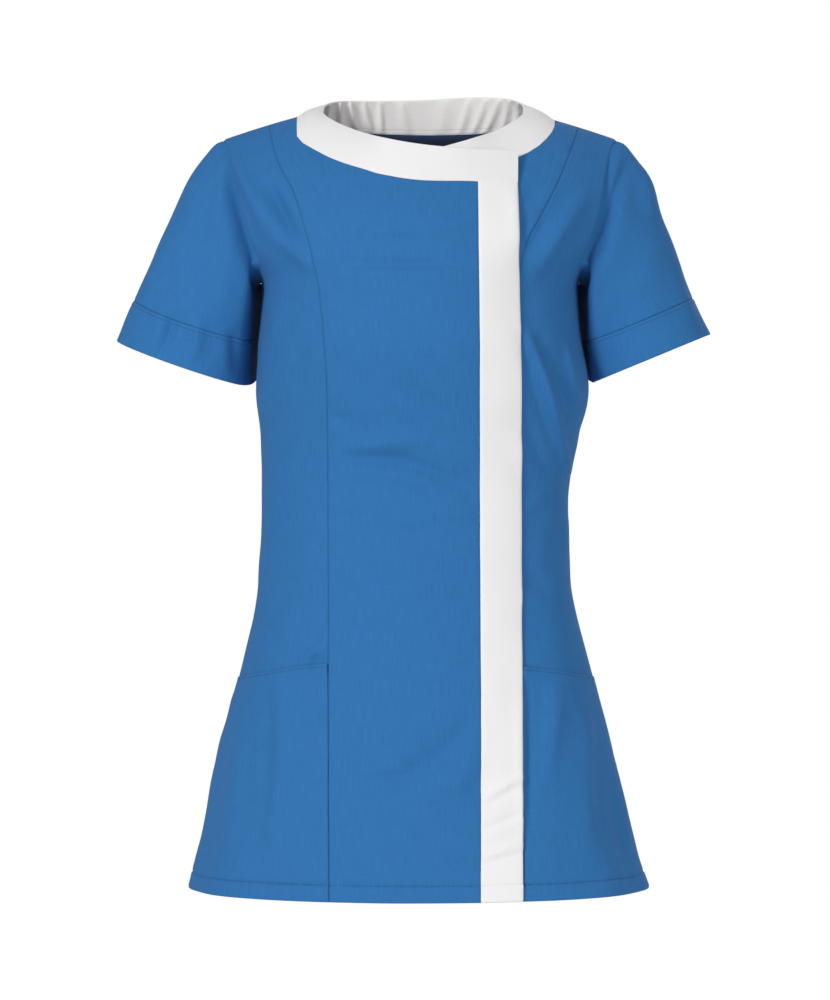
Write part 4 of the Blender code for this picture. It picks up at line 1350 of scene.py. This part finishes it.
def sleeve(hand):
    points, stop, tucked = sleeve_columns(hand)
    rows = np.unique(np.concatenate([np.linspace(0, 1, SLEEVE_ROWS), SLEEVE_EXTRA_ROWS]))
    body = drape(points(rows[:, None] * stop[None, :]), hand)
    normals = tube_normals(body, hand)
    down = cumulative(body, 0)
    lift = sleeve_lift(body, normals) * smooth_step(down, 0.0, SLEEVE_CALM)
    around = np.arange(body.shape[1]) / body.shape[1]
    gap = GAP_DEPTH * bell(around - GAP_MIDDLE, GAP_SPREAD)
    lift -= gap * (down / GAP_REACH) * np.exp(1 - down / GAP_REACH)
    lift -= SEAM_DIP * bell(down[-1:] - down, SEAM_ROLL)
    body = body + normals * lift[..., None]
    body = body + tucked * (1 - smooth_step(down, 0.0, TUCK_FADE))[..., None]
    cuff_rows = np.unique(np.concatenate([np.linspace(0, 1, CUFF_ROWS), CUFF_EXTRA_ROWS]))
    cuff = drape(points(mix(stop[None, :], 1.0, cuff_rows[:, None])), hand)
    cuff_normals = tube_normals(cuff, hand)
    lift = sleeve_lift(cuff, cuff_normals) + CUFF_LIFT
    down = cumulative(cuff, 0)
    lift -= SEAM_DIP * bell(down, SEAM_ROLL)
    cuff = cuff + cuff_normals * lift[..., None]
    inner = cuff - cuff_normals * CUFF_THICK
    fold = cuff[-1:] - cuff_normals[-1:] * CUFF_THICK / 2
    fold = fold + unit(cuff[-1:] - cuff[-2:-1]) * CUFF_THICK / 2
    cuff_loop = np.concatenate([cuff, fold, inner[::-1]])
    return body, cuff, cuff_loop, cuff_normals


for hand in ("right", "left"):
    body, cuff, cuff_loop, cuff_normals = sleeve(hand)
    flip = slice(None, None, -1) if hand == "right" else slice(None)
    cloth("sleeve_" + hand, body[:, flip], blue, closed=True)
    cloth("cuff_" + hand, cuff_loop[:, flip], blue, closed=True, wall=None)
    row = CUFF_STITCH_ROW
    line = np.concatenate([cuff[row], cuff[row, :1]])
    normals = np.concatenate([cuff_normals[row], cuff_normals[row, :1]])
    stitch_lines["blue"].append((line, normals))


# The sheet inside the back neck, in dark navy: painted shade for the shaded inside of the back
def shade_sheet():
    neck = back_neck()(np.linspace(SHADE_SHEET_START, 1 - SHADE_SHEET_START, SHADE_SHEET_COLUMNS))
    point = bare_point("back", neck[:, 0], neck[:, 1])
    down = np.linspace(SHADE_SHEET_DEPTH, 0, SHADE_SHEET_ROWS)[:, None]
    places = place("back", point[:, 0], point[:, 2] - down)
    return cloth_point("back", places, -SHADE_SHEET_GAP)[:, ::-1]


cloth("back_neck_facing", shade_sheet(), dark_sheet_material)

strip_start, strip_end = (float(seam(line)(np.array(HEM_RISE))) for line in (STRIP_INNER, STRIP_OUTER))
for side, start, end, is_under in (
    ("front", -1.0, strip_start, False),
    ("front", strip_end, 1.0, True),
    ("back", -1.0, 1.0, False),
):
    turn = np.linspace(start, end, HEM_STITCH_SPOTS)
    places = np.stack([turn, np.full(len(turn), HEM_RISE)], axis=-1)
    over = hem_shape(side, places) + (sunk(places) if is_under else 0.0)
    if side == "front":
        x = bare_point(side, turn, places[:, 1])[:, 0]
        over = over + POCKET_LIFT * (np.abs(x - POCKETS_MIDDLE) > POCKETS_START)
    stitched(side, places, over, "blue")
turn = np.linspace(strip_start, strip_end, STRIP_STITCH_SPOTS)[1:-1]
places = np.stack([turn, np.full(len(turn), HEM_RISE)], axis=-1)
stitched("front", places, hem_shape("front", places) + PLACKET_LIFT, "white")

stitches("blue_stitches", stitch_lines["blue"], blue_thread)
stitches("white_stitches", stitch_lines["white"], white_thread)


def pale_floor():
    """A round, plain floor below the tunic."""
    ring = np.linspace(0, 2 * math.pi, FLOOR_SIDES + 1)[:-1]
    rim = [(FLOOR_SIZE * math.cos(a), FLOOR_SIZE * math.sin(a), FLOOR_HEIGHT) for a in ring]
    pale = plain_material("pale", PALE, FLOOR_ROUGHNESS)
    mesh_object("floor", rim, [tuple(range(FLOOR_SIDES))], pale)


def lights():
    for lamp in LAMPS:
        data = bpy.data.lights.new(lamp.name, "AREA")
        data.energy = lamp.power
        data.shape = "SQUARE"
        data.size = lamp.size
        item = add_object(lamp.name, data)
        item.location = lamp.place
        way = Vector(lamp.aim) - Vector(lamp.place)
        item.rotation_mode = "QUATERNION"
        item.rotation_quaternion = way.to_track_quat("-Z", "Y")


def surroundings():
    """A soft light on the cloth; the camera itself sees plain white."""
    world = bpy.data.worlds.new("studio")
    bpy.context.scene.world = world
    world.use_nodes = True
    tree = world.node_tree
    soft = tree.nodes["Background"]
    soft.inputs["Color"].default_value = (1.0, 1.0, 1.0, 1.0)
    soft.inputs["Strength"].default_value = SOFT_LIGHT
    plain_white = add_node(tree, "Background", {"Color": (1.0, 1.0, 1.0, 1.0)})
    path = add_node(tree, "LightPath", {})
    seen = add_node(tree, "MixShader", {})
    link(tree, path, "Is Camera Ray", seen, 0)
    link(tree, soft, "Background", seen, 1)
    link(tree, plain_white, "Background", seen, 2)
    link(tree, seen, "Shader", tree.nodes["World Output"], "Surface")


pale_floor()
lights()
surroundings()

bpy.context.scene.view_settings.view_transform = "Standard"

camera_data = bpy.data.cameras.new("camera")
camera_data.lens = CAMERA_LENS
camera_data.sensor_width = SENSOR
camera = add_object("camera", camera_data)
camera.location = CAMERA_PLACE
camera.rotation_euler = (math.radians(90), 0, 0)
bpy.context.scene.camera = camera
